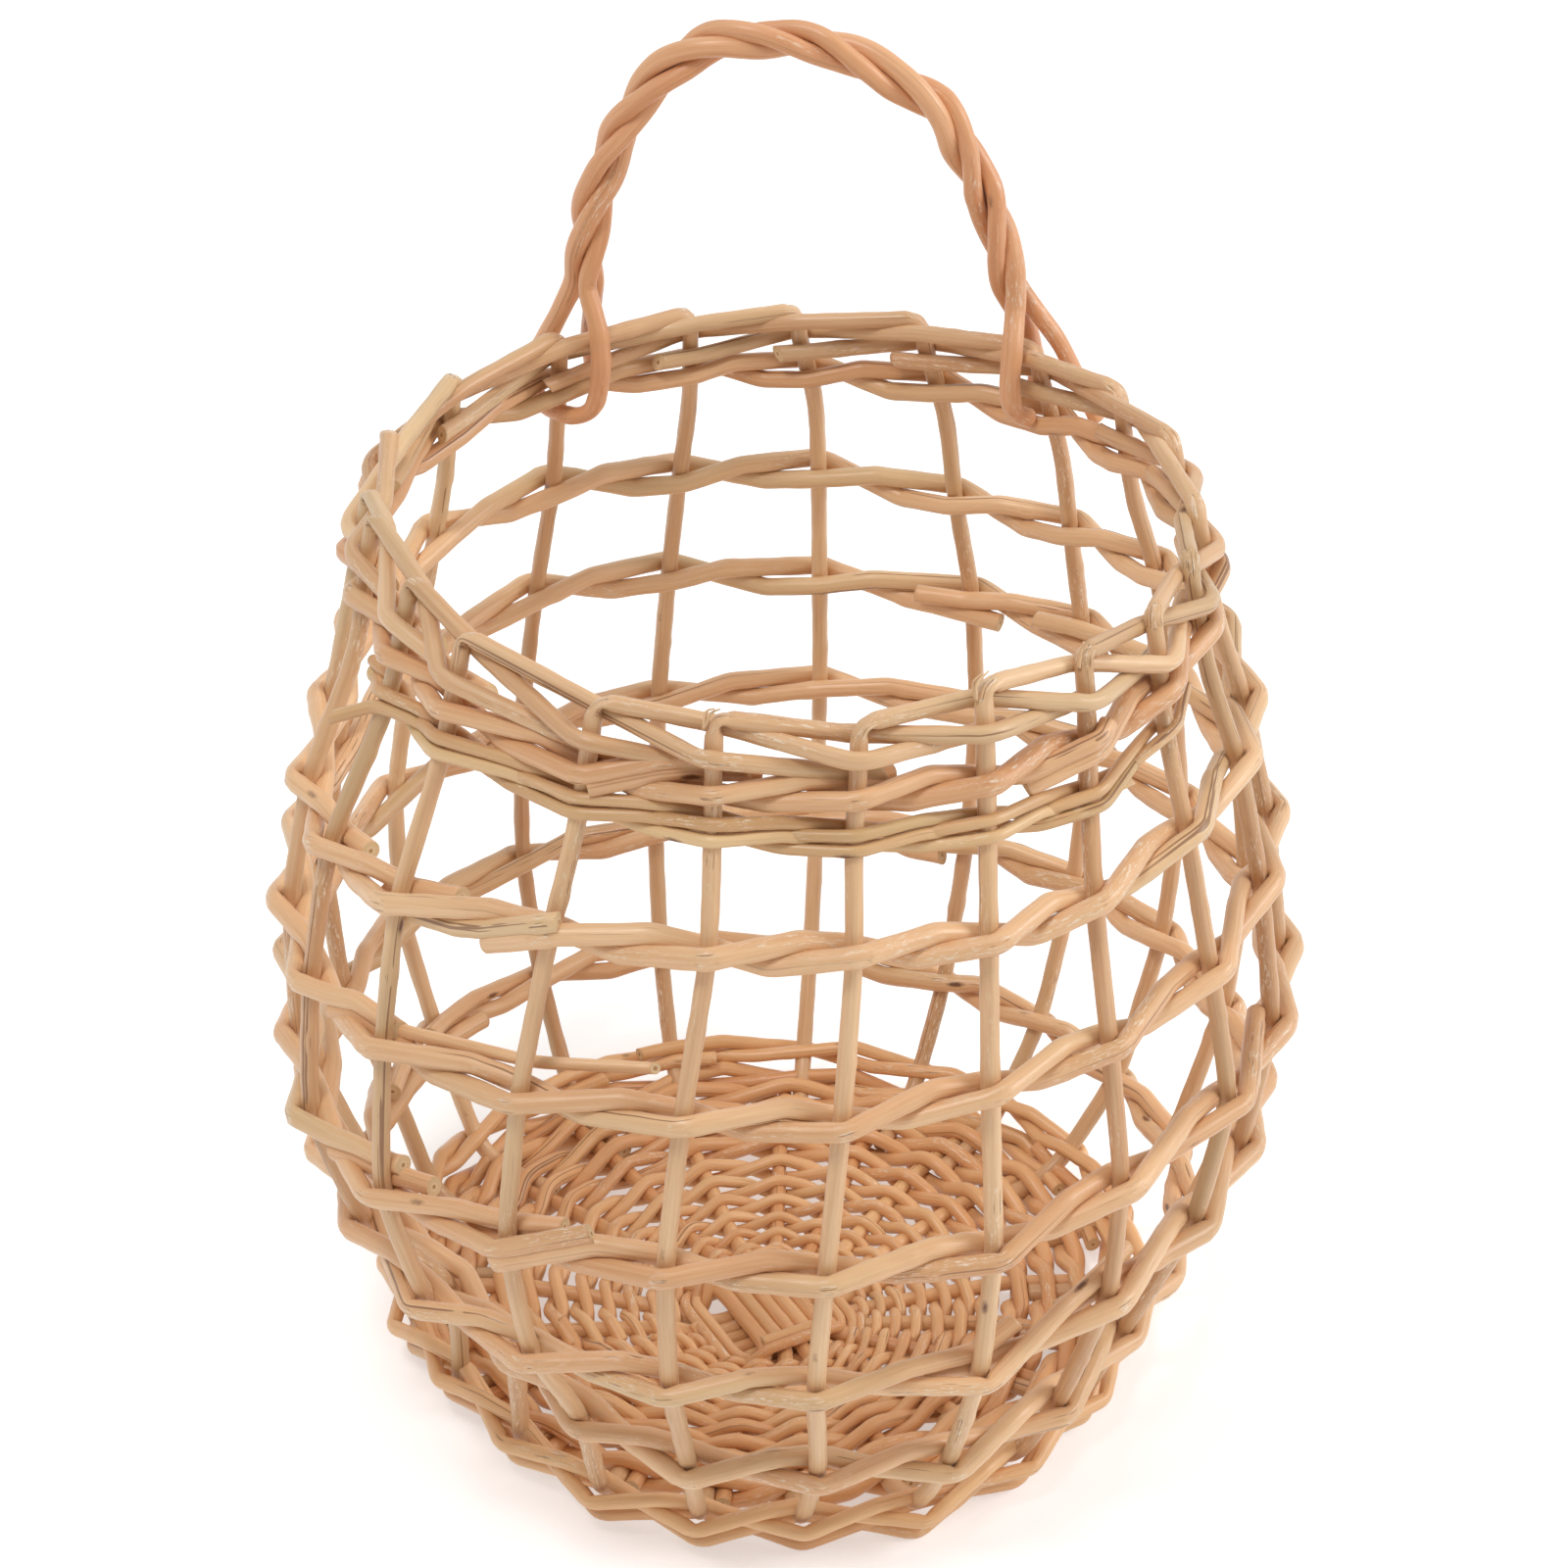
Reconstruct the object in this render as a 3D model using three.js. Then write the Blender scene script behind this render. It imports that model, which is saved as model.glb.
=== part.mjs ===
// Hanging rattan basket: an openwork pot of round peeled rods with a roped hoop for a handle.
// Millimetres, +Z up, standing on z = 0. The front looks along -Y. A bearing is an angle in
// degrees round the upright axis, from the front towards +X.

import * as THREE from 'three';

// Rod diameters, and the clearance that rods which touch keep. Rods that pass at a slant need
// a little more room between their centre lines, and a butted end stops short of an upright.
const uprightDiameter = 3.2;
const borderDiameter = 2.9;
const bandDiameter = 3.7;
const topBandDiameter = 3.2;
const thinRowDiameter = 2.1;
const edgeDiameter = 2.5;
const stickDiameter = 2.6;
const baseWeaverDiameter = 2.0;
const handleDiameter = 3.9;
const clearance = 0.3;
const slant = 1.07;
const buttShare = 0.6;

// The body's outline: how far the uprights' centre line is from the axis at each ring, and how
// far the ring lies above the one before. The tilt is a band's rise towards +X, in mm for each
// mm of X, and join is the upright where its pair of rods begins. The lifts say how far above
// its own level a band crosses some uprights, because a hand doesn't lay it quite even, and the
// insets say how much nearer the axis a ring is at some of them: the body is flatter on its left
// and low on both sides. The thin row isn't a whole ring: it packs the rim from one upright to
// another.
const baseEdge = { radius: 69, height: 8.6 };
const knee = { inset: 2, rise: 1.2, slope: 40, run: 5 };
const band1 = {
  radius: 83.4, rise: 18.8, tilt: -0.05, join: 19, lifts: { 2: 3, 3: 4.5, 4: 3.5, 5: 4, 6: 2.5, 7: 2 },
  insets: { 18: 2, 19: 5, 20: 7, 0: 10.5, 1: 13, 2: 11, 3: 3, 7: 3, 8: 7, 9: 6, 10: 2 },
};
const band2 = {
  radius: 92.4, rise: 27, tilt: 0.01, join: 7,
  lifts: { 2: 2, 3: 4, 4: 3, 5: 3, 6: 0.5, 7: 6, 8: 3.5, 9: 3.5, 10: 2.5, 16: -1.5 },
  insets: { 18: 1, 19: 4, 20: 7, 0: 8.5, 1: 7.5, 2: 2.5, 8: 2, 9: 1.5 },
};
const band3 = {
  radius: 95, rise: 29.8, tilt: 0.023, join: 3,
  lifts: { 2: -2, 4: 1.5, 6: -1.5, 7: 2.5, 8: 1.5, 9: 1.5, 10: 1.5, 15: 1.5 },
  insets: { 18: 1, 19: 4, 20: 7, 0: 7, 1: 1.5 },
};
const band4 = {
  radius: 90.7, rise: 29.7, tilt: 0.03, join: 14,
  lifts: { 1: -3, 2: -3, 3: -1, 5: -1, 9: 1, 14: -1, 15: -1, 16: 2, 17: 4, 18: 2 },
  insets: { 18: 1, 19: 4, 20: 6, 0: 2.5 },
};
const band5 = {
  radius: 85.1, rise: 26.9, tilt: 0.017, join: 2,
  lifts: { 0: -3, 1: -6, 2: -5, 3: 2.5, 4: 3, 5: 2.5, 8: 1.5, 10: -1.5, 13: -1.5, 14: -2.5, 17: 3, 18: 3 },
  insets: { 18: 1, 19: 4, 20: 6.5, 0: 1.5 },
};
const rimBottom = { radius: 78.3, rise: 19, insets: { 19: 1.5, 20: 4, 0: 5, 1: 5, 2: 4, 3: 1 } };
const border = {
  radius: 74.2, rise: 20.4, lifts: { 3: 1, 4: 1.5, 6: 3, 7: 2, 11: 2.5, 12: 2, 13: 1 },
  insets: rimBottom.insets,
};
const topBand = { join: 5, lifts: { 3: 1, 4: 1.5, 6: -1, 7: -2, 8: -1 } };
const thinRow = { from: 1, to: 8, lifts: { 2: 1, 3: 1, 4: 1.5, 6: -1.5, 7: -3, 8: -2 } };

// The bearings go round an axis that isn't quite the middle of the whole basket, because the body
// is flatter on its left
const axisAside = 3.52;

// Each upright's bearing at mid height, and how far it leans round for 100 mm of rise. Some are
// bowed as well: they stand a few degrees further round at the rings above the base's edge.
const leanHeight = 84;
const uprights = [
  { bearing: -75, lean: 0 },
  { bearing: -60, lean: 0, bow: [0, 0, 0, -1.5, -3, -2, 0] },
  { bearing: -45, lean: -4, bow: [1, 2, 0.5, 0, 0, 1, 3] },
  { bearing: -25, lean: 0, bow: [1.5, -1, -2.5, -2, 0.5, 1.5, 2.5] },
  { bearing: -8, lean: 1.5, bow: [0, -1.5, -2, -1, 1, 0.5, 0] },
  { bearing: 8, lean: 2.5, bow: [0.5, -1.5, -1.5, -0.5, 0.5, 0.5, 1] },
  { bearing: 25, lean: 2, bow: [0, 0, -0.5, -1, -0.5, 1, 1] },
  { bearing: 42, lean: 0, bow: [0, -0.5, -1.5, -2, -2, 1, 2] },
  { bearing: 60, lean: 0, bow: [0, -0.5, 0, -2, -3, -1, 0] },
  { bearing: 75, lean: 0 },
  { bearing: 90, lean: 0 },
  { bearing: 106, lean: 0 },
  { bearing: 122, lean: 0 },
  { bearing: 138, lean: 0, bow: [0, 0, 0, 0, 0, -2, 1] },
  { bearing: 154, lean: 0, bow: [0, 0, 0, 0, 1.5, 1, 4] },
  { bearing: 174, lean: 0, bow: [0, 0, 0, 0, 0, 0, 2.5] },
  { bearing: 194, lean: -3, bow: [0, 0, 0, 0, 0, 0, 1] },
  { bearing: 212, lean: -4, bow: [0, 0, 0, 0, 0, 2.5, 4] },
  { bearing: 232, lean: -5, bow: [0, 0, 0, 0, 0, 2.5, 4.5] },
  { bearing: 250, lean: 0 },
  { bearing: 268, lean: 0 },
];
const count = uprights.length;

// Base: sticks crossed off the middle and fanned out, woven round in pairs from the inside out.
// The cross has slid forwards by a few millimetres, so its arms are shortest in front.
const slathBearing = 28.5;
const slathOffset = [0, -6];
const slathReach = 14;
const fanRadius = 27;
const wovenFrom = 29;
const wovenTo = 60;
const stickEnd = 62.5;
const footEnd = 51.5;
const fanStep = 0.45;
const bindingReach = 10.6;
const bindingCorner = 16;
const bindingSpread = 1.7;
const narrowestAngle = 14;

// Handle: the hoop's centre line from the left foot over the top to the right foot, as X, the
// distance behind or before the border's radius along Y, and the height above the border
const handleLine = [
  [-35, -8, 10],
  [-34.5, -8, 22],
  [-31, -8.5, 34.5],
  [-26, -9, 45.5],
  [-19, -9.5, 55],
  [-9, -10.5, 60],
  [2, -11, 60.5],
  [14, -12, 57],
  [24, -13, 52.5],
  [32.5, -14, 45],
  [36.5, -14, 35.5],
  [39.5, -14.5, 26.5],
  [43, -15, 17],
  [44.5, -15, 10],
];
const handleTurns = 10 / 3;
const strandStep = 5.5;

// Flat sides round each rod in this model
const uprightSides = 5;
const weaverSides = 5;
const fineSides = 4;

const straw = '#e3be92';
const honey = '#d9a76f';
const pale = '#ecd0a8';
const amber = '#cf9560';

const basket = new THREE.Group();
const zAxis = new THREE.Vector3(0, 0, 1);

function onRing(bearing, radius, height) {
  const angle = THREE.MathUtils.degToRad(bearing);
  return new THREE.Vector3(radius * Math.sin(angle), -radius * Math.cos(angle), height);
}

// The half width of a crossing whose two legs, `other` apart, must stay `space` apart
function reach(space, other) {
  return (space * other) / Math.sqrt(other * other - space * space);
}

// A closed rod with flat sides along a path, of one diameter or one for each point. A level rod
// keeps a flat side underneath.
function rodGeometry(path, diameter, sides, level) {
  const last = path.length - 1;
  const positions = [];
  const faces = [];
  const normal = level ? zAxis.clone() : new THREE.Vector3(0.3, 0.9, 0.1);
  for (let i = 0; i <= last; i += 1) {
    const arriving = path[Math.max(i, 1)].clone().sub(path[Math.max(i, 1) - 1]).normalize();
    const leaving = path[Math.min(i + 1, last)].clone().sub(path[Math.min(i + 1, last) - 1]).normalize();
    const tangent = arriving.add(leaving).normalize();
    if (level) normal.copy(zAxis);
    normal.addScaledVector(tangent, -normal.dot(tangent)).normalize();
    const side = normal.clone().cross(tangent);
    const radius = (Array.isArray(diameter) ? diameter[i] : diameter) / 2;
    for (let k = 0; k < sides; k += 1) {
      const angle = -Math.PI / 2 + ((2 * k + 1) * Math.PI) / sides;
      const corner = path[i].clone();
      corner.addScaledVector(side, Math.cos(angle) * radius);
      corner.addScaledVector(normal, Math.sin(angle) * radius);
      positions.push(corner.x, corner.y, corner.z);
    }
  }
  for (let i = 0; i < last; i += 1) {
    for (let k = 0; k < sides; k += 1) {
      const a = i * sides + k;
      const b = i * sides + ((k + 1) % sides);
      faces.push(a, b, b + sides, a, b + sides, a + sides);
    }
  }
  for (let k = 1; k < sides - 1; k += 1) {
    faces.push(0, k + 1, k);
    faces.push(last * sides, last * sides + k, last * sides + k + 1);
  }
  const geometry = new THREE.BufferGeometry();
  geometry.setAttribute('position', new THREE.Float32BufferAttribute(positions, 3));
  geometry.setIndex(faces);
  geometry.computeVertexNormals();
  return geometry;
}

// From a rod's centre line to the middle of one of its flat sides
function halfFlat(diameter, sides) {
  return (diameter / 2) * Math.cos(Math.PI / sides);
}

function addRod(name, path, diameter, sides, colour, level = true) {
  const material = new THREE.MeshStandardMaterial({ color: colour, roughness: 0.55, metalness: 0 });
  const geometry = rodGeometry(path, diameter, sides, level).translate(-axisAside, 0, 0);
  const rod = new THREE.Mesh(geometry, material);
  rod.name = name;
  basket.add(rod);
}

// The body's outline as a list of rings from the base's edge up to the border
const outline = [baseEdge];
for (const ring of [band1, band2, band3, band4, band5, rimBottom, border]) {
  outline.push({ ...ring, height: outline[outline.length - 1].height + ring.rise });
}
const bands = outline.slice(1, 6);
const rimHeight = outline[6].height;
const borderHeight = outline[7].height;

// The outline's ring next above a height, and how far the height is on the way to it
function ringAbove(height) {
  let k = 1;
  while (k < outline.length - 1 && outline[k].height < height) k += 1;
  const share = (height - outline[k - 1].height) / (outline[k].height - outline[k - 1].height);
  return { k, share };
}

function outlineRadius(height) {
  const { k, share } = ringAbove(height);
  return THREE.MathUtils.lerp(outline[k - 1].radius, outline[k].radius, share);
}

function bearingAt(index, height) {
  const { bearing, lean, bow } = uprights[index % count];
  const { k, share } = ringAbove(height);
  const bowed = (ring) => bow?.[ring - 1] ?? 0;
  const turned = THREE.MathUtils.lerp(bowed(k - 1), bowed(k), share);
  return bearing + (lean * (height - leanHeight)) / 100 + turned + 360 * Math.floor(index / count);
}

// How far a band lies above its own level where it crosses an upright
function liftAt({ lifts }, index) {
  return lifts?.[index % count] ?? 0;
}

// A ring of crossings: its place on the outline, and the outline's direction there
function ringAt(height) {
  const step = 3;
  const radius = outlineRadius(height);
  const run = outlineRadius(height + step) - outlineRadius(height - step);
  const along = new THREE.Vector2(run, 2 * step).normalize();
  return { radius, height, along };
}

// How much nearer the axis than the outline an upright stands
function insetAt(height, index) {
  const { k, share } = ringAbove(height);
  const inset = (ring) => outline[ring].insets?.[index % count] ?? 0;
  return THREE.MathUtils.lerp(inset(k - 1), inset(k), THREE.MathUtils.clamp(share, 0, 1));
}

// An open band carries the outline with it where it is lifted; a band of the rim slides along it
function liftedRing(ring, band, lift) {
  return bands.includes(band) ? { ...ring, height: ring.height + lift } : ringAt(ring.height + lift);
}

// Moves a point of a ring outwards, square to the outline, and up along it
function offRing(ring, bearing, outwards, upwards, inset = 0, tilt = 0) {
  const radius = ring.radius - inset + outwards * ring.along.y + upwards * ring.along.x;
  const height = ring.height - outwards * ring.along.x + upwards * ring.along.y;
  const point = onRing(bearing, radius, height);
  point.z += tilt * point.x;
  return point;
}

// How far off an upright a rod's centre line passes it, and how far two twined rods part
function clearOf(diameter) {
  return ((uprightDiameter + diameter) / 2 + clearance) * slant;
}

function twineLift(diameter) {
  return reach((diameter + clearance) / 2, clearOf(diameter)) * slant;
}

// Two rods twined round the uprights. At each upright one lies outside and one inside, and
// between uprights the one on its way in passes above the other. Each rod's end butts against
// the other's start, just before the upright where the pair was begun.
function addTwinedRing(name, ring, diameter, sides, colour, band) {
  const aside = clearOf(diameter);
  const lift = twineLift(diameter);
  const sag = ring.radius * (1 - Math.cos(Math.PI / count));
  const bearingOf = (i) => bearingAt(band.join + count + i, ring.height);
  const liftOf = (i) => liftAt(band, band.join + count + i);
  const insetOf = (i) => insetAt(ring.height, band.join + count + i);
  for (let strand = 0; strand < 2; strand += 1) {
    const outside = (i) => (i + strand) % 2 === 0;
    const crossing = (i) => {
      const lifted = band.lifts ? liftedRing(ring, band, liftOf(i)) : ring;
      return offRing(lifted, bearingOf(i), outside(i) ? aside : -aside, 0, insetOf(i), band.tilt);
    };
    const between = (i) => {
      const middle = (bearingOf(i) + bearingOf(i + 1)) / 2;
      const inset = (insetOf(i) + insetOf(i + 1)) / 2;
      const lifted = band.lifts ? liftedRing(ring, band, (liftOf(i) + liftOf(i + 1)) / 2) : ring;
      return offRing(lifted, middle, -sag, outside(i) ? lift : -lift, inset, band.tilt);
    };
    const lap = between(-1).distanceTo(crossing(0));
    const path = [between(-1).lerp(crossing(0), buttShare)];
    for (let i = 0; i < count; i += 1) path.push(crossing(i), between(i));
    path.push(between(count - 1).lerp(crossing(count), buttShare - clearance / lap));
    addRod(`${name}_${'ab'[strand]}`, path, diameter, sides, colour);
  }
}

// The same with each strand doubled: two thin rods, one above the other, go round as one. The
// lower rod on its way in still has to pass above the upper one on its way out.
function doubledLift(diameter) {
  const across = 2 * clearOf(diameter);
  const space = (diameter + clearance) * slant;
  return (space / 2) * ((across ** 2 + space ** 2) / (across ** 2 - space ** 2));
}

function addDoubledRow(name, height, diameter, sides, colour, row) {
  const aside = clearOf(diameter);
  const pitch = (diameter + clearance) * slant;
  const lift = doubledLift(diameter);
  const sag = outlineRadius(height) * (1 - Math.cos(Math.PI / count));
  for (let rod = 0; rod < 4; rod += 1) {
    const outside = (i) => (i + rod) % 2 === 0;
    const upper = rod < 2 ? 0.5 : -0.5;
    const crossing = (i) => {
      const ring = ringAt(height + liftAt(row, i));
      const out = outside(i) ? aside : -aside;
      return offRing(ring, bearingAt(i, height), out, upper * pitch, insetAt(height, i));
    };
    const between = (i) => {
      const ring = ringAt(height + (liftAt(row, i) + liftAt(row, i + 1)) / 2);
      const middle = (bearingAt(i, height) + bearingAt(i + 1, height)) / 2;
      const inset = (insetAt(height, i) + insetAt(height, i + 1)) / 2;
      const side = outside(i) ? 1 : -1;
      return offRing(ring, middle, -sag, side * (lift + pitch / 2) + upper * pitch, inset);
    };
    const last = upper > 0 ? row.to : row.to - 1;
    const path = [between(row.from - 1).lerp(crossing(row.from), buttShare)];
    for (let i = row.from; i < last; i += 1) path.push(crossing(i), between(i));
    path.push(crossing(last), between(last).lerp(crossing(last), buttShare));
    addRod(`${name}_${rod < 2 ? 'upper' : 'lower'}_${'ab'[rod % 2]}`, path, diameter, sides, colour);
  }
}

// Base heights: the sticks lie in one layer, high enough for the weavers to pass under them
const footSpacing = (uprightDiameter + stickDiameter) / 2 + clearance;

function weaverLift(radius, across, taken) {
  const room = radius * THREE.MathUtils.degToRad(narrowestAngle) - taken;
  return reach((across + baseWeaverDiameter) / 2 + clearance, room / 2);
}

const footRows = footEnd - 3;
const baseLift = Math.max(
  weaverLift(wovenFrom, stickDiameter, 0),
  weaverLift(footRows, Math.max(uprightDiameter, stickDiameter), footSpacing),
);
const baseHeight = baseLift + halfFlat(baseWeaverDiameter, fineSides);

// Each upright: its foot lies beside a base stick, it bows up the body, kinks over to the right
// at the border, passes behind the next upright, before the one after and ends behind the third.
const borderPitch = borderDiameter + clearance;
const borderAside = clearOf(borderDiameter);
const behindDrop = 0.85 * borderPitch;
const frontDrop = 2.25 * borderPitch;
const tipDrop = 2.95 * borderPitch;
const kinkTurn = 1.3;

function stickBearing(index) {
  const angle = Math.asin(footSpacing / baseEdge.radius);
  return bearingAt(index, baseEdge.height) + THREE.MathUtils.radToDeg(angle);
}

function besideStick(index, distance, height) {
  const point = onRing(stickBearing(index), distance, height);
  return point.add(onRing(stickBearing(index) - 90, footSpacing, 0));
}

function borderPoint(index, turn, aside, drop) {
  const height = borderHeight - drop;
  const radius = outlineRadius(height) - insetAt(height, index) + aside;
  const point = onRing(bearingAt(index, borderHeight) + turn, radius, height);
  point.z += liftAt(border, index);
  return point;
}

uprights.forEach((_, index) => {
  const path = [
    besideStick(index, footEnd, baseHeight),
    besideStick(index, baseEdge.radius - knee.run, baseHeight),
    besideStick(index, baseEdge.radius - knee.inset, baseHeight + knee.rise),
    onRing(bearingAt(index, baseEdge.height), baseEdge.radius, baseEdge.height),
  ];
  for (const band of bands) {
    const lifted = liftedRing(band, band, liftAt(band, index));
    const radius = lifted.radius - insetAt(band.height, index);
    const point = onRing(bearingAt(index, band.height), radius, lifted.height);
    point.z += band.tilt * point.x;
    path.push(point);
  }
  const rimRadius = rimBottom.radius - insetAt(rimHeight, index);
  path.push(onRing(bearingAt(index, rimHeight), rimRadius, rimHeight));
  path.push(borderPoint(index, 0, 0, uprightDiameter / 2));
  path.push(borderPoint(index, kinkTurn, 0, 0));
  const bent = path.length;
  path.push(borderPoint(index + 1, 0, -borderAside, behindDrop));
  path.push(borderPoint(index + 2, 0, borderAside, frontDrop));
  path.push(borderPoint(index + 3, -kinkTurn, -borderAside, tipDrop));
  const widths = path.map((_point, i) => (i < bent ? uprightDiameter : borderDiameter));
  const colour = index >= 10 ? honey : pale;
  const name = `upright_${String(index + 1).padStart(2, '0')}`;
  addRod(name, path, widths, uprightSides, colour, false);
});

// The open bands
bands.forEach((band, k) => {
  addTwinedRing(`band_${k + 1}`, ringAt(band.height), bandDiameter, weaverSides, straw, band);
});

// The rim under the border: one thick twined band, and in front a row of doubled thin rods
const topLift = twineLift(topBandDiameter);
const underBorder = ((borderDiameter + topBandDiameter) / 2 + clearance) * slant;
const topBandHeight = borderHeight - (frontDrop + tipDrop) / 2 - underBorder - topLift;
addTwinedRing('top_band', ringAt(topBandHeight), topBandDiameter, weaverSides, straw, topBand);

const thinReach = doubledLift(thinRowDiameter) + (thinRowDiameter + clearance) * slant;
const thinHeight = topBandHeight - topLift - (topBandDiameter + thinRowDiameter) / 2 - clearance
  - thinReach;
addDoubledRow('thin_row', thinHeight, thinRowDiameter, fineSides, pale, thinRow);

// The two twined rounds that turn the base's edge up into the body
const kneeSlope = THREE.MathUtils.degToRad(knee.slope);
const kneeRing = {
  radius: baseEdge.radius - knee.inset,
  height: baseHeight + knee.rise,
  along: new THREE.Vector2(Math.cos(kneeSlope), Math.sin(kneeSlope)),
};
const edgePitch = 2 * twineLift(edgeDiameter) + edgeDiameter + clearance;
const secondRing = ringAt(kneeRing.height + edgePitch * ringAt(baseEdge.height + edgePitch).along.y);
addTwinedRing('edge_round_1', kneeRing, edgeDiameter, fineSides, honey, { join: 12 });
addTwinedRing('edge_round_2', secondRing, edgeDiameter, fineSides, honey, { join: 17 });

// How far aside two base weavers pass each other between sticks
const strandGap = (baseWeaverDiameter + clearance) / 2;
const passing = reach(strandGap, baseLift) * slant;

// Base sticks. One set lies on top of the other where they cross, and each stick bends out to
// its own two bearings. The last stick of the lower set is a half, pushed in from one side.
const layer = (stickDiameter + clearance) / 2;
const pitchAcross = stickDiameter + clearance;

function onCross(axis, along, lane, height) {
  const [right, back] = slathOffset;
  return onRing(axis, along, height).add(onRing(axis + 90, lane, 0)).add(new THREE.Vector3(right, back, 0));
}

function stickPoints(axis, lane, index, height) {
  const straight = slathReach - Math.abs(lane) * fanStep;
  const start = onCross(axis, straight, lane, height);
  return [
    start,
    onRing(stickBearing(index), fanRadius, baseHeight),
    onRing(stickBearing(index), stickEnd, baseHeight),
  ];
}

const frontIndices = [4, 5, 6, 7, 8];
const backIndices = [19, 18, 17, 16, 15];
frontIndices.forEach((index, k) => {
  const lane = (k - 2) * pitchAcross;
  const front = stickPoints(slathBearing, lane, index, baseHeight + layer);
  const back = stickPoints(slathBearing + 180, -lane, backIndices[k], baseHeight + layer);
  addRod(`base_stick_upper_${k + 1}`, [...front.reverse(), ...back], stickDiameter, weaverSides, honey);
});

const rightIndices = [9, 10, 11, 12, 13, 14];
const leftIndices = [3, 2, 1, 0, 20];
rightIndices.forEach((index, k) => {
  const lane = (k - 2.5) * pitchAcross;
  const right = stickPoints(slathBearing + 90, lane, index, baseHeight - layer).reverse();
  if (k < leftIndices.length) {
    right.push(...stickPoints(slathBearing + 270, -lane, leftIndices[k], baseHeight - layer));
  } else {
    right.push(onCross(slathBearing + 90, 0, lane, baseHeight - layer));
  }
  addRod(`base_stick_lower_${k + 1}`, right, stickDiameter, weaverSides, honey);
});

// The binding: two rods round the four arms of the crossed sticks. One passes over the upper
// arms and under the lower ones, and the other slips between the two layers.
const armHalf = [2.5, 3, 2.5, 3].map((lanes) => lanes * pitchAcross);
const slipped = (stickDiameter + baseWeaverDiameter) / 2 + clearance - layer;
for (let strand = 0; strand < 2; strand += 1) {
  const path = [];
  for (let arm = 0; arm < 4; arm += 1) {
    const axis = slathBearing + 90 * arm;
    const over = (arm + strand) % 2 === 0;
    const rise = strand === 0 ? baseLift : slipped;
    const height = baseHeight + (over ? rise : -rise);
    for (const side of [-1, 1]) {
      path.push(onCross(axis, bindingReach, side * armHalf[arm], height));
    }
    const aside = passing * bindingSpread;
    path.push(onCross(axis + 45, bindingCorner + (over ? -aside : aside), 0, baseHeight));
  }
  path.pop();
  addRod(`base_binding_${'ab'[strand]}`, path, baseWeaverDiameter, fineSides, pale);
}

// The base weave: a pair of rods twined from stick to stick in a spiral. The outer rows take
// in each upright's foot with its stick.
const basePitch = 2 * (strandGap + passing);
const baseRows = Math.floor((wovenTo - wovenFrom) / basePitch);
for (let strand = 0; strand < 2; strand += 1) {
  const path = [];
  for (let i = 0; i < baseRows * count; i += 1) {
    const radius = wovenFrom + (basePitch * i) / count;
    const over = (i + strand) % 2 === 0;
    const height = baseHeight + (over ? baseLift : -baseLift);
    const foot = radius > footRows ? THREE.MathUtils.radToDeg(Math.asin(footSpacing / radius)) : 0;
    const here = stickBearing(i);
    if (foot > 0) path.push(onRing(here - foot, radius, height));
    path.push(onRing(here, radius, height));
    const middle = (here + stickBearing(i + 1) - foot) / 2;
    path.push(onRing(middle, radius + (over ? -passing : passing), baseHeight));
  }
  path.pop();
  addRod(`base_weaver_${'ab'[strand]}`, path, baseWeaverDiameter, fineSides, honey);
}

// The handle: three strands laid as a rope, which part at each foot. One goes down inside the
// rim and hooks under it, one goes down outside and one splays outside towards the next upright.
const handleCurve = new THREE.CatmullRomCurve3(handleLine.map(([across, back, up]) => (
  new THREE.Vector3(across, border.radius + back, borderHeight + up)
)));
const ropeRadius = ((handleDiameter + clearance) / Math.sqrt(3)) * slant;
const ropeSteps = 30;
const besideHandle = clearance + handleDiameter / 2;
const rimInside = border.radius - borderAside - halfFlat(borderDiameter, uprightSides) - besideHandle;
const rimUnder = topBandHeight - topLift - topBandDiameter / 2 - besideHandle;
const rimOutside = outlineRadius(topBandHeight) + clearOf(topBandDiameter)
  + halfFlat(topBandDiameter, weaverSides) + besideHandle;

function hookedFoot(bearing, under, end) {
  return [
    onRing(bearing, rimInside + 0.8, borderHeight + 3),
    onRing(bearing, rimInside, borderHeight - 4),
    onRing(bearing, rimInside, rimUnder + 7),
    onRing(under, rimInside + 1.5, rimUnder + 2.5),
    onRing(under, rimInside + 6, rimUnder - 0.2),
    onRing(end, rimOutside - 5.5, rimUnder - 0.2),
    onRing(end, rimOutside, rimUnder + 4),
  ];
}

function outerFoot(bearing, drift) {
  return [
    onRing(bearing, rimOutside - 5, borderHeight + 2),
    onRing(bearing + drift * 0.3, rimOutside - 1.5, borderHeight - 6),
    onRing(bearing + drift, rimOutside + 0.2, rimUnder + 5),
  ];
}

const leftFeet = [hookedFoot(207.5, 207.8, 208), outerFoot(210.5, 5), outerFoot(205.5, -1.5)];
const rightFeet = [outerFoot(143, 1), hookedFoot(139, 139, 139), outerFoot(138, -4)];
const startPhases = [-90, 30, 150];

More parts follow.
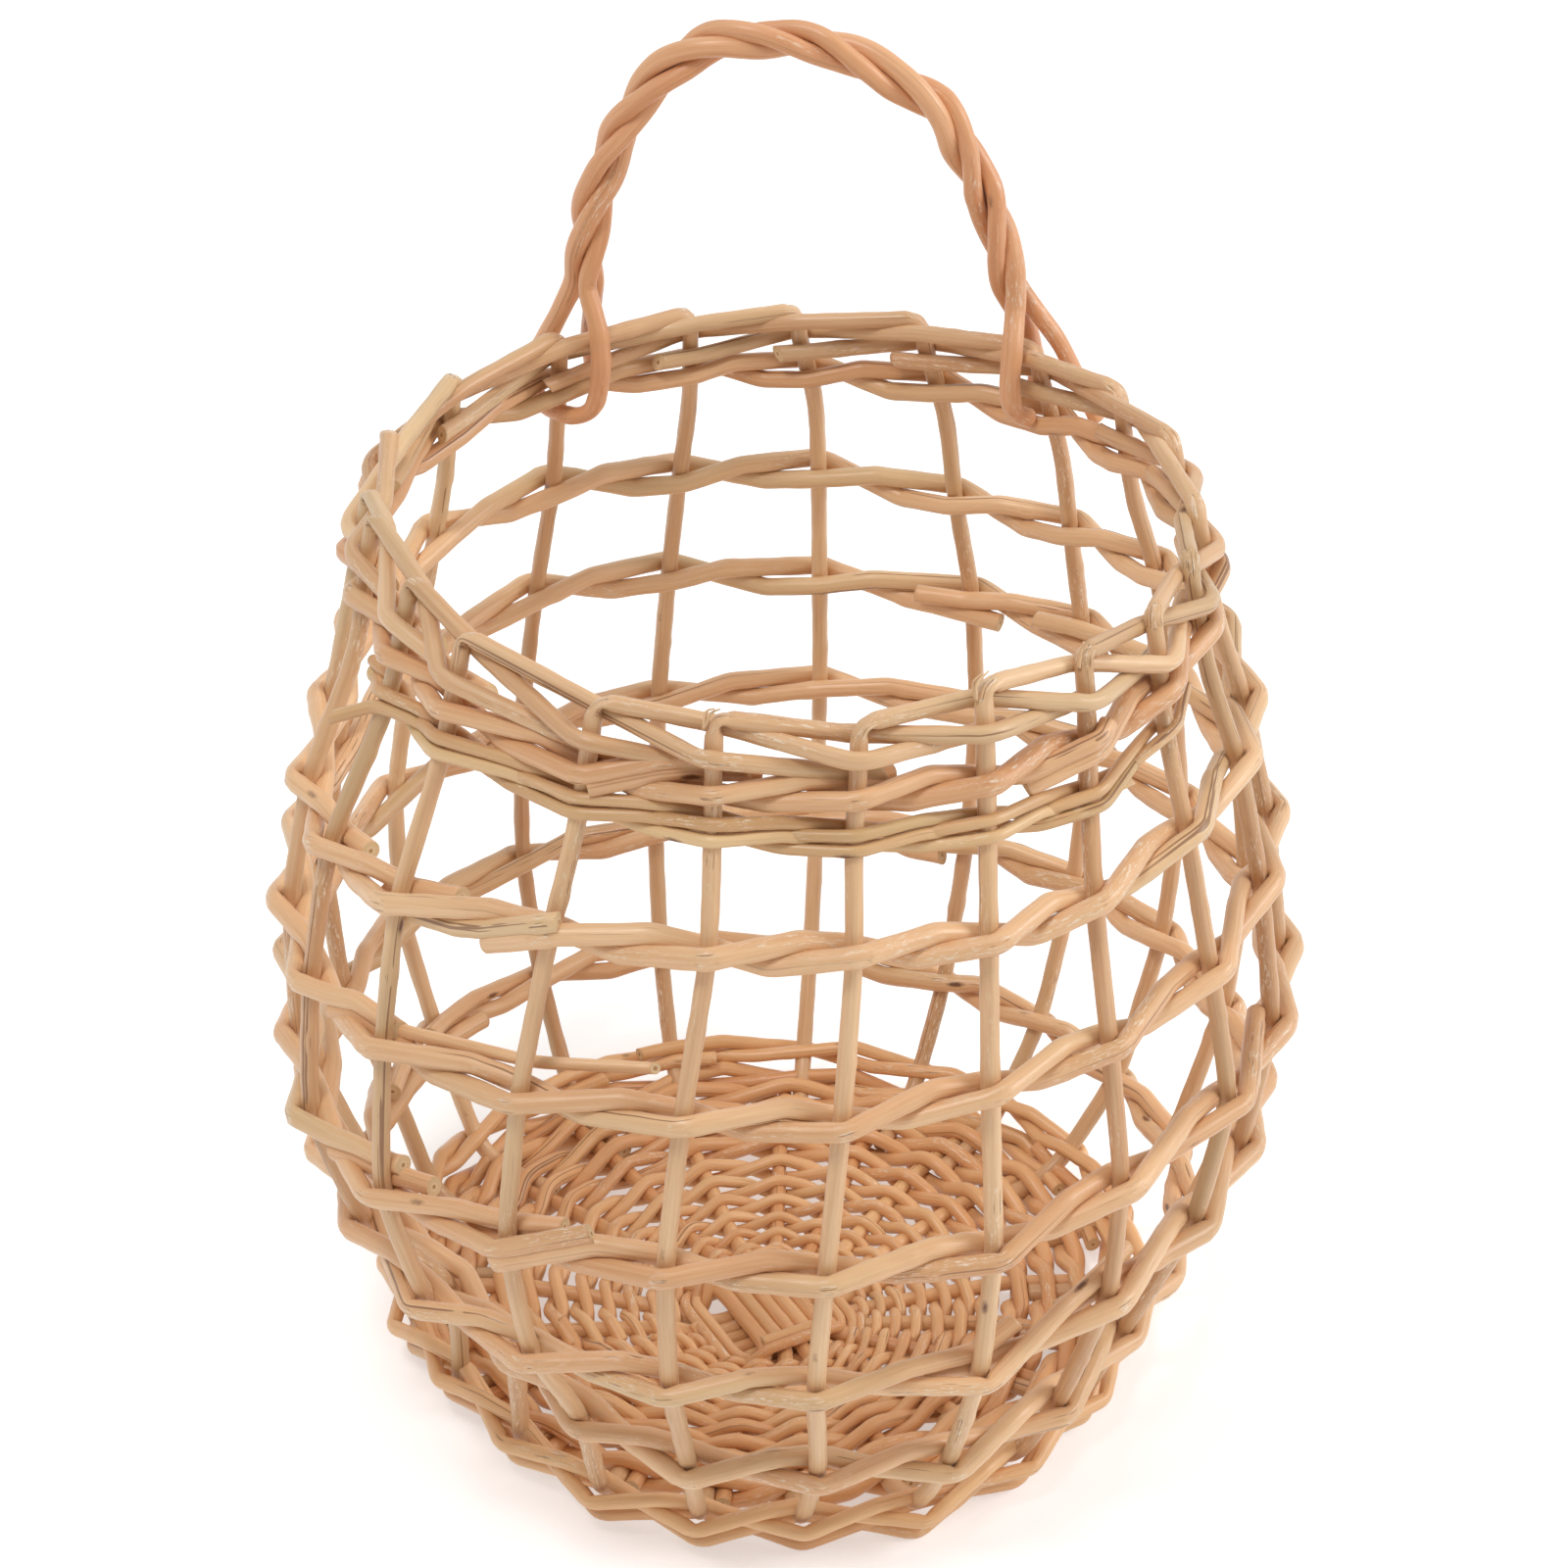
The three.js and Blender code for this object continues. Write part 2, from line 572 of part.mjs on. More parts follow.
for (let strand = 0; strand < 3; strand += 1) {
  const rope = [];
  for (let i = 0; i <= ropeSteps; i += 1) {
    const share = i / ropeSteps;
    const centre = handleCurve.getPointAt(share);
    const tangent = handleCurve.getTangentAt(share);
    const back = new THREE.Vector3(0, 1, 0);
    back.addScaledVector(tangent, -back.dot(tangent)).normalize();
    const outwards = tangent.clone().cross(back);
    const phase = THREE.MathUtils.degToRad(startPhases[strand] - 360 * handleTurns * share);
    centre.addScaledVector(outwards, ropeRadius * Math.cos(phase));
    rope.push(centre.addScaledVector(back, ropeRadius * Math.sin(phase)));
  }
  const knots = [...leftFeet[strand].slice().reverse(), ...rope, ...rightFeet[strand]];
  const curve = new THREE.CatmullRomCurve3(knots, false, 'centripetal');
  const path = curve.getSpacedPoints(Math.round(curve.getLength() / strandStep));
  addRod(`handle_strand_${strand + 1}`, path, handleDiameter, weaverSides, amber, false);
}

export default basket;
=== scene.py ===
# %% [markdown]
# # A hanging rattan basket
# The real basket is made of round peeled rods and nothing else: uprights, rods twined round
# them in open bands, a woven base, a border of bent-down tips and a hoop of three twisted
# rods. Each rod here is one piece. It starts as a straight round rod, as the maker's did, and
# is then bent along its path. All lengths are in millimetres until a mesh is finished.

import math

import bmesh
import bpy
import numpy as np
from mathutils import Matrix, Vector


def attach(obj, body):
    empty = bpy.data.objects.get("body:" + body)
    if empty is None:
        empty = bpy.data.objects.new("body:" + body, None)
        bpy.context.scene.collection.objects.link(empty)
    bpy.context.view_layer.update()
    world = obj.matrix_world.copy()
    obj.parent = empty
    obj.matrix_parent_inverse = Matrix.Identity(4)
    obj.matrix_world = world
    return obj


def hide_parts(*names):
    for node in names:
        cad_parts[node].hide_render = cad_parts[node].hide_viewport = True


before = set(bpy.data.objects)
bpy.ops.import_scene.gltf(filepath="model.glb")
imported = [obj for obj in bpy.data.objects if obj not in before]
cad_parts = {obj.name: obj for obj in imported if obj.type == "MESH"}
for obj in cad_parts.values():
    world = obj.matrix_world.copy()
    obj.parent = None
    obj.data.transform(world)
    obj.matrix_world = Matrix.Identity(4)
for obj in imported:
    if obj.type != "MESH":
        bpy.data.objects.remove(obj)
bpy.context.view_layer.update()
MM = 0.001
print("nodes in the frame:", len(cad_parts))

# %% [markdown]
# ## The camera
# The picture was taken from a little above the rim, with a long lens. The camera's place comes
# from fitting it to the crossings of uprights and bands, so each rod can be set against the
# picture at its own place.

# %% Camera
LOOK_AT = Vector((-0.72, 0, 122)) * MM
CAMERA_DISTANCE = 807.5 * MM
CAMERA_ELEVATION = math.radians(32.85)
CAMERA_ROLL = math.radians(0.61)
FOCAL_PIXELS = 4540
FRAME_PIXELS = 1600

camera_data = bpy.data.cameras.new("camera")
camera_data.sensor_width = 36
camera_data.lens = camera_data.sensor_width * FOCAL_PIXELS / FRAME_PIXELS
camera = bpy.data.objects.new("camera", camera_data)
bpy.context.scene.collection.objects.link(camera)
backwards = Vector((0, -math.cos(CAMERA_ELEVATION), math.sin(CAMERA_ELEVATION)))
turn = backwards.to_track_quat("Z", "Y").to_matrix().to_4x4() @ Matrix.Rotation(CAMERA_ROLL, 4, "Z")
camera.matrix_world = Matrix.Translation(LOOK_AT + backwards * CAMERA_DISTANCE) @ turn
bpy.context.scene.camera = camera
bpy.context.scene.view_settings.view_transform = "Standard"
print("lens, mm:", round(camera_data.lens, 1))

# %% [markdown]
# ## Colours and nodes
# Colours are written as they look on screen and turned to linear light by one function. A few
# short functions add the shader nodes that come up again and again.

# %% Helpers for colours and nodes
def linear(hex_code):
    channels = [int(hex_code[i:i + 2], 16) / 255 for i in (1, 3, 5)]
    return [c / 12.92 if c <= 0.04045 else ((c + 0.055) / 1.055) ** 2.4 for c in channels] + [1]


def add(tree, kind, inputs=(), **settings):
    node = tree.nodes.new(kind)
    for key, value in settings.items():
        setattr(node, key, value)
    for socket, value in dict(inputs).items():
        if isinstance(value, bpy.types.NodeSocket):
            tree.links.new(value, node.inputs[socket])
        else:
            node.inputs[socket].default_value = value
    return node


def new_material(name):
    material = bpy.data.materials.new(name)
    material.use_nodes = True
    material.node_tree.nodes.clear()
    return material


def maths(tree, operation, first, second):
    return add(tree, "ShaderNodeMath", {0: first, 1: second}, operation=operation).outputs[0]


def ramp(tree, value, low, high, start=0.0, end=1.0):
    return add(tree, "ShaderNodeMapRange",
               {"Value": value, "From Min": low, "From Max": high, "To Min": start,
                "To Max": end}).outputs[0]


def noise(tree, grain, scale, detail=2.0, roughness=0.5, place=(0, 0, 0)):
    at = add(tree, "ShaderNodeMapping", {"Vector": grain, "Location": place, "Scale": scale})
    return add(tree, "ShaderNodeTexNoise",
               {"Vector": at.outputs[0], "Scale": 1.0, "Detail": detail,
                "Roughness": roughness}).outputs[0]


def tinted(tree, share, colour, tint):
    return add(tree, "ShaderNodeMix", {"Factor": share, "A": colour, "B": linear(tint)},
               data_type="RGBA").outputs["Result"]


# %% [markdown]
# ## The stage
# A plain pale floor under soft light. In the picture the light comes from above and from round
# the sides and back, and the rods are darkest down their middle, where they face the camera. So
# the world is brighter behind than in front. The floor takes the basket's shadow. It also glows
# a little, which lights the basket from below, and more so to the camera, which brings the floor
# out near white.

# %% Floor, world and lamps
FRONT_LIGHT, BACK_LIGHT = 0.31, 0.9
FLOOR_HALF_WIDTH = 4
FLOOR_COLOUR = "#e8e8e8"
FLOOR_GLOW, SEEN_GLOW = 0.26, 0.42
# Each lamp's place and diameter in metres, and its power in watts
LAMPS = {"key": ((-0.5, -0.6, 1.8), 0.5, 12), "side": ((1.4, -0.1, 0.9), 0.8, 11)}


def make_floor():
    mesh = bpy.data.meshes.new("floor")
    bm = bmesh.new()
    bmesh.ops.create_grid(bm, x_segments=1, y_segments=1, size=FLOOR_HALF_WIDTH)
    bm.to_mesh(mesh)
    bm.free()
    floor = bpy.data.objects.new("floor", mesh)
    bpy.context.scene.collection.objects.link(floor)
    material = new_material("pale_floor")
    tree = material.node_tree
    path = add(tree, "ShaderNodeLightPath")
    strength = ramp(tree, path.outputs["Is Camera Ray"], 0.0, 1.0, FLOOR_GLOW, SEEN_GLOW)
    paint = add(tree, "ShaderNodeBsdfDiffuse", {"Color": linear(FLOOR_COLOUR)})
    glow = add(tree, "ShaderNodeEmission", {"Color": (1, 1, 1, 1), "Strength": strength})
    both = add(tree, "ShaderNodeAddShader", {0: paint.outputs[0], 1: glow.outputs[0]})
    add(tree, "ShaderNodeOutputMaterial", {"Surface": both.outputs[0]})
    mesh.materials.append(material)


def make_world():
    world = bpy.data.worlds.new("studio")
    world.use_nodes = True
    tree = world.node_tree
    tree.nodes.clear()
    path = add(tree, "ShaderNodeLightPath")
    way = add(tree, "ShaderNodeTexCoord").outputs["Generated"]
    split = add(tree, "ShaderNodeSeparateXYZ", {0: way})
    light = ramp(tree, split.outputs[1], -1.0, 1.0, FRONT_LIGHT, BACK_LIGHT)
    strength = maths(tree, "MAXIMUM", light, path.outputs["Is Camera Ray"])
    sky = add(tree, "ShaderNodeBackground", {"Color": (1, 1, 1, 1), "Strength": strength})
    add(tree, "ShaderNodeOutputWorld", {"Surface": sky.outputs[0]})
    bpy.context.scene.world = world


def make_lamp(name, place, size, watts):
    data = bpy.data.lights.new(name, "AREA")
    data.shape = "DISK"
    data.size = size
    data.energy = watts
    lamp = bpy.data.objects.new(name, data)
    lamp.location = place
    lamp.rotation_euler = (Vector(place) - LOOK_AT).to_track_quat("Z", "Y").to_euler()
    bpy.context.scene.collection.objects.link(lamp)


make_floor()
make_world()
for name, lamp in LAMPS.items():
    make_lamp(name, *lamp)
print("stage set")

# %% [markdown]
# ## The peeled rod's finish
# Willow that was boiled and peeled is straw to honey coloured, smooth with a satin sheen, with
# fine lines along the rod, broad changes of tone, brown nicks where buds were, and here and
# there a fleck of torn pale fibre. All of it follows the rod. So each mesh carries three
# attributes: grain, the place of each point in the rod while it was straight, in millimetres;
# tone, how warm that rod is; and wear, which is above 0 in the creases inside a kink and below
# 0 where the fibres are torn outside it. A noise's scale is per millimetre: 0.05 along the rod
# makes marks about 20 mm long.

# %% Material for peeled rods
NICK_BROWN, CREASE_BROWN, SPLIT_BROWN = "#6f4225", "#7c4e2d", "#7a4a28"
TORN_PALE = "#f4e4cc"
BUMP_DEPTH = 0.28 * MM


def peeled_rod(name, pale, deep, green, nicks=0.8):
    material = new_material(name)
    tree = material.node_tree
    grain = add(tree, "ShaderNodeAttribute", attribute_name="grain").outputs["Vector"]
    tone = add(tree, "ShaderNodeAttribute", attribute_name="tone").outputs["Fac"]
    wear = add(tree, "ShaderNodeAttribute", attribute_name="wear").outputs["Fac"]

    # Lines along the rod, 0.5 mm wide and 20 mm long, over changes of tone 40 to 80 mm long
    lines = noise(tree, grain, (1.6, 1.6, 0.05), 4.0, 0.6)
    broad = noise(tree, grain, (0.12, 0.12, 0.02))
    warm = maths(tree, "ADD", tone, maths(tree, "ADD", broad, lines))
    warmth = ramp(tree, warm, 0.9, 2.1)
    base = add(tree, "ShaderNodeMix",
               {"Factor": warmth, "A": linear(pale), "B": linear(deep)}, data_type="RGBA")
    # A faint green grey cast over some stretches
    cast = noise(tree, grain, (0.1, 0.1, 0.012), 1.0, 0.5, (31, 7, 11))
    colour = tinted(tree, ramp(tree, cast, 0.5, 0.7, 0.0, 0.45), base.outputs["Result"], green)

    # Nicks: a spot about 1 mm wide and 3 mm long in one cell of the rod out of several
    nick_at = add(tree, "ShaderNodeMapping", {"Vector": grain, "Scale": (0.36, 0.36, 0.12)})
    wobble = add(tree, "ShaderNodeTexNoise", {"Vector": grain, "Scale": 1.4, "Detail": 3.0})
    nick_to = add(tree, "ShaderNodeMix",
                  {"Factor": 0.12, "A": nick_at.outputs[0], "B": wobble.outputs["Color"]},
                  data_type="VECTOR")
    nick = add(tree, "ShaderNodeTexVoronoi", {"Vector": nick_to.outputs["Result"], "Scale": 1.0})
    chosen = maths(tree, "GREATER_THAN", nick.outputs["Color"], nicks)
    spot = ramp(tree, nick.outputs["Distance"], 0.1, 0.24, 1.0, 0.0)
    spot = maths(tree, "MULTIPLY", spot, chosen)
    colour = tinted(tree, spot, colour, NICK_BROWN)

    # Torn pale fibre, on some stretches and outside the kinks
    fleck = noise(tree, grain, (2.4, 2.4, 0.45), 3.0, 0.7)
    outside = ramp(tree, wear, -0.55, -0.12, 1.0, 0.0)
    where = maths(tree, "MAXIMUM", ramp(tree, broad, 0.57, 0.65), outside)
    torn = maths(tree, "MULTIPLY", ramp(tree, fleck, 0.54, 0.66), where)
    colour = tinted(tree, maths(tree, "MULTIPLY", torn, 0.8), colour, TORN_PALE)

    # Brown creases across the inside of a kink, and dark cracks along the rod beside it
    fold = noise(tree, grain, (0.7, 0.7, 1.9), 2.0, 0.6)
    inside = ramp(tree, wear, 0.15, 0.6)
    crease = maths(tree, "MULTIPLY", ramp(tree, fold, 0.46, 0.6), inside)
    split = noise(tree, grain, (3.0, 3.0, 0.16), 1.0, 0.5, (5, 9, 3))
    crack = maths(tree, "MULTIPLY", ramp(tree, split, 0.64, 0.7), outside)
    damage = maths(tree, "MAXIMUM", crease, crack)
    colour = tinted(tree, maths(tree, "MULTIPLY", damage, 0.8), colour, CREASE_BROWN)

    # Long dark splits along the rod, a hair wide, on some stretches
    drying = noise(tree, grain, (2.0, 2.0, 0.012), 0.0, 0.5, (17, 3, 29))
    dry = ramp(tree, noise(tree, grain, (0.05, 0.05, 0.01), 0.0, 0.5, (2, 41, 5)), 0.52, 0.6)
    long_split = maths(tree, "MULTIPLY", ramp(tree, drying, 0.69, 0.72), dry)
    colour = tinted(tree, maths(tree, "MULTIPLY", long_split, 0.75), colour, SPLIT_BROWN)
    damage = maths(tree, "MAXIMUM", damage, long_split)

    # The surface itself: fine lines, with the nicks, creases and splits sunk in
    fibre = noise(tree, grain, (3.2, 3.2, 0.12), 3.0, 0.6)
    sunk = maths(tree, "MAXIMUM", spot, damage)
    height = add(tree, "ShaderNodeMath", {0: sunk, 1: -0.9, 2: fibre}, operation="MULTIPLY_ADD")
    height = maths(tree, "ADD", height.outputs[0], maths(tree, "MULTIPLY", torn, 0.5))
    bump = add(tree, "ShaderNodeBump", {"Height": height, "Strength": 0.4, "Distance": BUMP_DEPTH})
    skin = add(tree, "ShaderNodeBsdfPrincipled",
               {"Base Color": colour, "Roughness": ramp(tree, lines, 0.0, 1.0, 0.34, 0.56),
                "Normal": bump.outputs[0], "IOR": 1.5, "Sheen Weight": 0.12,
                "Sheen Roughness": 0.4, "Coat Weight": 0.35, "Coat Roughness": 0.28})
    add(tree, "ShaderNodeOutputMaterial", {"Surface": skin.outputs[0]})
    return material


# %% [markdown]
# ## The cut end
# A cut across a rod shows pale wood, a small brown pith and a slightly darker skin. The colours
# go by the distance from the rod's middle in millimetres, which the grain attribute gives.

# %% Material for cut ends
CUT_COLOURS = [(0.0, "#a87d4f"), (0.35, "#c29a69"), (0.5, "#e6d0ab"), (0.95, "#dcbf94")]
CUT_BUMP_DEPTH = 0.2 * MM


def cut_wood():
    material = new_material("cut_willow")
    tree = material.node_tree
    grain = add(tree, "ShaderNodeAttribute", attribute_name="grain").outputs["Vector"]
    flat = add(tree, "ShaderNodeMapping", {"Vector": grain, "Scale": (1, 1, 0)})
    middle = add(tree, "ShaderNodeVectorMath", {0: flat.outputs[0]}, operation="LENGTH")
    rings = add(tree, "ShaderNodeValToRGB", {"Fac": middle.outputs["Value"]})
    while len(rings.color_ramp.elements) < len(CUT_COLOURS):
        rings.color_ramp.elements.new(0.5)
    for element, (place, hex_code) in zip(rings.color_ramp.elements, CUT_COLOURS):
        element.position = place
        element.color = linear(hex_code)
    speck = noise(tree, grain, (4, 4, 4))
    bump = add(tree, "ShaderNodeBump",
               {"Height": speck, "Strength": 0.5, "Distance": CUT_BUMP_DEPTH})
    wood = add(tree, "ShaderNodeBsdfPrincipled",
               {"Base Color": rings.outputs[0], "Roughness": 0.8, "Normal": bump.outputs[0]})
    add(tree, "ShaderNodeOutputMaterial", {"Surface": wood.outputs[0]})
    return material


WILLOW = {
    "upright_rod": peeled_rod("peeled_willow_upright", "#ebc699", "#bf8757", "#bda67b"),
    "band_rod": peeled_rod("peeled_willow_band", "#efc799", "#c98955", "#c6ad7e"),
    "thin_rod": peeled_rod("peeled_willow_thin", "#e8c593", "#c28c59", "#b5a672"),
    "base_rod": peeled_rod("peeled_willow_base", "#f2c48f", "#cc864c", "#daaf79", nicks=0.88),
    "handle_rod": peeled_rod("peeled_willow_handle", "#f0be90", "#c97d48", "#daa370", nicks=0.74),
}
CUT_WILLOW = cut_wood()
print("materials:", len(bpy.data.materials))

# %% [markdown]
# ## Bending a rod
# A path is a list of corners. It is first cut into small even steps and then eased, because a
# real rod never turns as sharply as a drawn line. The ease is the length over which a corner is
# spread: 1 mm leaves the tight kinks of a weaver, 5 mm gives the long bow of an upright. Each
# place along a rod also gets two directions across it, which turn with it but never twist.

# %% Helpers for paths
STEP = 0.6


def even_steps(corners):
    corners = np.asarray(corners, dtype=float)
    runs = np.linalg.norm(np.diff(corners, axis=0), axis=1)
    corners = np.vstack([corners[:1], corners[1:][runs > 1e-6]])
    along = np.concatenate([[0], np.cumsum(runs[runs > 1e-6])])
    places = np.linspace(0, along[-1], max(int(along[-1] / STEP), 4) + 1)
    return np.stack([np.interp(places, along, corners[:, k]) for k in range(3)], axis=1)


def smoothed(rows, reach):
    kernel = np.exp(-0.5 * (np.arange(-3 * reach, 3 * reach + 1) / reach) ** 2)
    kernel /= kernel.sum()
    padded = np.pad(rows, ((3 * reach, 3 * reach), (0, 0)), "edge")
    return np.stack([np.convolve(padded[:, k], kernel, "valid") for k in range(rows.shape[1])],
                    axis=1)


def eased(corners, ease):
    path = even_steps(corners)
    reach = max(round(ease / STEP), 1)
    # The ends run straight on while the corners are eased, so that they stay where they are
    run_on = np.arange(1, 3 * reach + 1)[:, None]
    before = path[0] + (path[0] - path[1]) * run_on[::-1]
    after = path[-1] + (path[-1] - path[-2]) * run_on
    whole = smoothed(np.vstack([before, path, after]), reach)
    return whole[3 * reach:-3 * reach]


def frames_along(path):
    tangents = np.gradient(path, axis=0)
    tangents /= np.linalg.norm(tangents, axis=1)[:, None]
    normal = np.array([0.3, 0.9, 0.1])
    normals = np.empty_like(path)
    for i, tangent in enumerate(tangents):
        normal = normal - tangent * normal.dot(tangent)
        normal /= np.linalg.norm(normal)
        normals[i] = normal
    return tangents, normals, np.cross(tangents, normals)


# %% [markdown]
# ## One rod
# The rod starts as a closed round bar along Z, cut across into rings. Its points keep their
# straight place in the grain attribute and are then moved onto the path. The bar swells at the
# buds and is never quite round, so no two rods look alike. Where the path turns sharply the rod
# kinks: it goes flat and wide there, wrinkles inside the bend and tears outside it. A slanting
# cut is made by shearing the last rings before the rod is bent. Paths are laid out round the
# uprights' axis, which isn't the middle of the basket, so each is moved aside as it is used.

# %% Make and finish a rod
AXIS_ASIDE = 3.52
# A rod that turns by KINK_FROM, in radians, over its own thickness starts to kink, and one that
# turns by KINK_SPAN more is fully kinked
KINK_FROM, KINK_SPAN = 0.35, 0.7
# Depths, swells and the like are shares of the rod's thickness; lengths are in millimetres
FLATTENING = 0.28
BORDER_FLATTENING = 0.4
WIDENING = 0.12
WRINKLE_PITCH, WRINKLE_DEPTH = 2.1, 0.09
TEAR_DEPTH = 0.07
UNEVENNESS, OVALNESS = 0.04, 0.03
BUD_SPACING, BUD_LENGTH, BUD_SWELL = 45, 1.5, 0.1
TORN_SPACING, TORN_LENGTHS, TORN_WEAR = 130, (6, 14), 0.6
TONES = (0.1, 0.7)
FULL_TURN = 6.3


def straight_bar(length, rings, sides):
    bm = bmesh.new()
    bmesh.ops.create_cone(bm, cap_ends=True, cap_tris=False, segments=sides,
                          radius1=1, radius2=1, depth=length)
    upright_edges = [e for e in bm.edges if abs(e.verts[0].co.z - e.verts[1].co.z) > length / 2]
    bmesh.ops.subdivide_edges(bm, edges=upright_edges, cuts=rings, use_grid_fill=True)
    bmesh.ops.translate(bm, verts=bm.verts, vec=(0, 0, length / 2))
    for face in bm.faces:
        face.smooth = len(face.verts) == 4
        face.material_index = 0 if face.smooth else 1
    return bm


def uneven(places, chance, size):
    total = np.zeros_like(places)
    for wave in (60, 27, 13, 7):
        swing = np.sin(places * 2 * math.pi / wave + chance.uniform(0, 2 * math.pi))
        total += swing * chance.uniform(0.3, 1)
    return total * size / 2


def at_places(places, stations, rows):
    return np.stack([np.interp(places, stations, row) for row in rows.T], axis=1)


def kinks(stations, tangents, normals, sideways, diameter):
    turning = np.gradient(tangents, stations, axis=0)
    towards = np.stack([(turning * normals).sum(axis=1), (turning * sideways).sum(axis=1)], axis=1)
    towards = smoothed(towards, 2)
    sharpness = np.linalg.norm(towards, axis=1, keepdims=True)
    bend = np.clip((sharpness * diameter - KINK_FROM) / KINK_SPAN, 0, 1)
    return bend, towards / np.maximum(sharpness, 1e-6)


def bent_rod(path, diameter, seed, sides=14, slants=(0.2, 0.2), flattening=FLATTENING):
    """A rod along a path, with its three attributes. Its diameter may be a pair, butt and tip"""
    path = np.asarray(path) - [AXIS_ASIDE, 0, 0]
    butt, tip = diameter if isinstance(diameter, tuple) else (diameter, diameter)
    steps = np.linalg.norm(np.diff(path, axis=0), axis=1)
    stations = np.concatenate([[0], np.cumsum(steps)])
    length = stations[-1]
    chance = np.random.RandomState(seed)
    tangents, normals, sideways = frames_along(path)
    bend, towards = kinks(stations, tangents, normals, sideways, (butt + tip) / 2)

    bm = straight_bar(length, len(path) - 2, sides)
    mesh = bpy.data.meshes.new("rod")
    bm.to_mesh(mesh)
    bm.free()
    bar = np.empty(len(mesh.vertices) * 3)
    mesh.vertices.foreach_get("co", bar)
    bar = bar.reshape(-1, 3)
    along = bar[:, 2].copy()
    angle = np.arctan2(bar[:, 1], bar[:, 0])

    thick = np.interp(along, [0, length], [butt / 2, tip / 2])
    thick *= 1 + uneven(along, chance, UNEVENNESS)
    thick *= 1 + OVALNESS * np.cos(2 * (angle + along / 90 + chance.uniform(0, FULL_TURN)))
    for _ in range(int(length / BUD_SPACING)):
        bud = chance.uniform(0, length)
        facing = 0.5 + 0.5 * np.cos(angle - chance.uniform(0, FULL_TURN))
        thick *= 1 + BUD_SWELL * facing * np.exp(-((along - bud) / BUD_LENGTH) ** 2)

    bent = np.interp(along, stations, bend[:, 0])
    to_x, to_y = at_places(along, stations, towards).T
    facing_in = np.cos(angle) * to_x + np.sin(angle) * to_y
    wrinkles = 0.5 + 0.5 * np.sin(along * 2 * math.pi / WRINKLE_PITCH)
    thick *= 1 - WRINKLE_DEPTH * bent * np.clip(facing_in, 0, 1) * wrinkles
    thick *= 1 + TEAR_DEPTH * bent * np.clip(-facing_in, 0, 1) * np.sin(6 * angle + along * 0.7)
    wear = bent * facing_in
    for _ in range(int(length / TORN_SPACING)):
        torn_at = chance.uniform(0, length)
        run = chance.uniform(*TORN_LENGTHS)
        facing = np.clip(np.cos(angle - chance.uniform(0, FULL_TURN)), 0, 1)
        wear -= TORN_WEAR * facing * np.exp(-((along - torn_at) / run) ** 2)

    across = bar[:, :2] * thick[:, None]
    inwards = across[:, 0] * to_x + across[:, 1] * to_y
    across *= 1 + WIDENING * bent[:, None]
    squeeze = (flattening + WIDENING) * bent * inwards
    across -= np.stack([squeeze * to_x, squeeze * to_y], axis=1)
    for end, slant in enumerate(slants):
        turned = chance.uniform(0, FULL_TURN)
        depth = across @ np.array([math.cos(turned), math.sin(turned)]) * slant
        run = max(6 * butt * abs(slant), 3)
        near = np.clip(1 - (along if end == 0 else length - along) / run, 0, 1)
        bar[:, 2] += depth * near

    clipped = np.clip(bar[:, 2], 0, length)
    places = at_places(clipped, stations, path)
    places += at_places(clipped, stations, tangents) * (bar[:, 2] - clipped)[:, None]
    places += at_places(clipped, stations, normals) * across[:, :1]
    places += at_places(clipped, stations, sideways) * across[:, 1:]
    mesh.vertices.foreach_set("co", (places * MM).ravel())
    grain = np.column_stack([across, bar[:, 2] + chance.uniform(-400, 400)])
    tone = np.full(len(grain), chance.uniform(*TONES))
    return mesh, grain, tone, wear


def finish_piece(node, rods, slot):
    """Join a piece's rods to one mesh in the place of its CAD node; each rod stays closed"""
    name = f"{node}_rod"
    whole = bmesh.new()
    for mesh, *_ in rods:
        whole.from_mesh(mesh)
        bpy.data.meshes.remove(mesh)
    bmesh.ops.recalc_face_normals(whole, faces=whole.faces)
    mesh = bpy.data.meshes.new(name)
    whole.to_mesh(mesh)
    whole.free()
    _, grains, tones, wears = zip(*rods)
    grain = mesh.attributes.new("grain", "FLOAT_VECTOR", "POINT")
    grain.data.foreach_set("vector", np.concatenate(grains).ravel())
    for label, values in (("tone", tones), ("wear", wears)):
        attribute = mesh.attributes.new(label, "FLOAT", "POINT")
        attribute.data.foreach_set("value", np.concatenate(values))
    mesh.materials.append(WILLOW[slot])
    mesh.materials.append(CUT_WILLOW)
    piece = bpy.data.objects.new(name, mesh)
    bpy.context.scene.collection.objects.link(piece)
    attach(piece, "root")
    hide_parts(node)


# %% [markdown]
# ## The body's outline
# The body is given by its rings, from below: the base's edge, the five open bands, the foot of
# the rim and the border. A ring has a radius and a height, in millimetres. The uprights stand at
# uneven bearings, as a hand leaves them, where a bearing is an angle in degrees round the axis
# from the front towards +X. Some lean by a number of degrees in 100 mm, and some are bowed by a
# number of degrees at each ring above the base's edge. A lift is how far above its own level a
# band crosses an upright. An inset is how much nearer the axis an upright stands at each ring:
# the body is flatter on its left, and low down on both sides. So the axis isn't quite the middle
# of the whole basket.

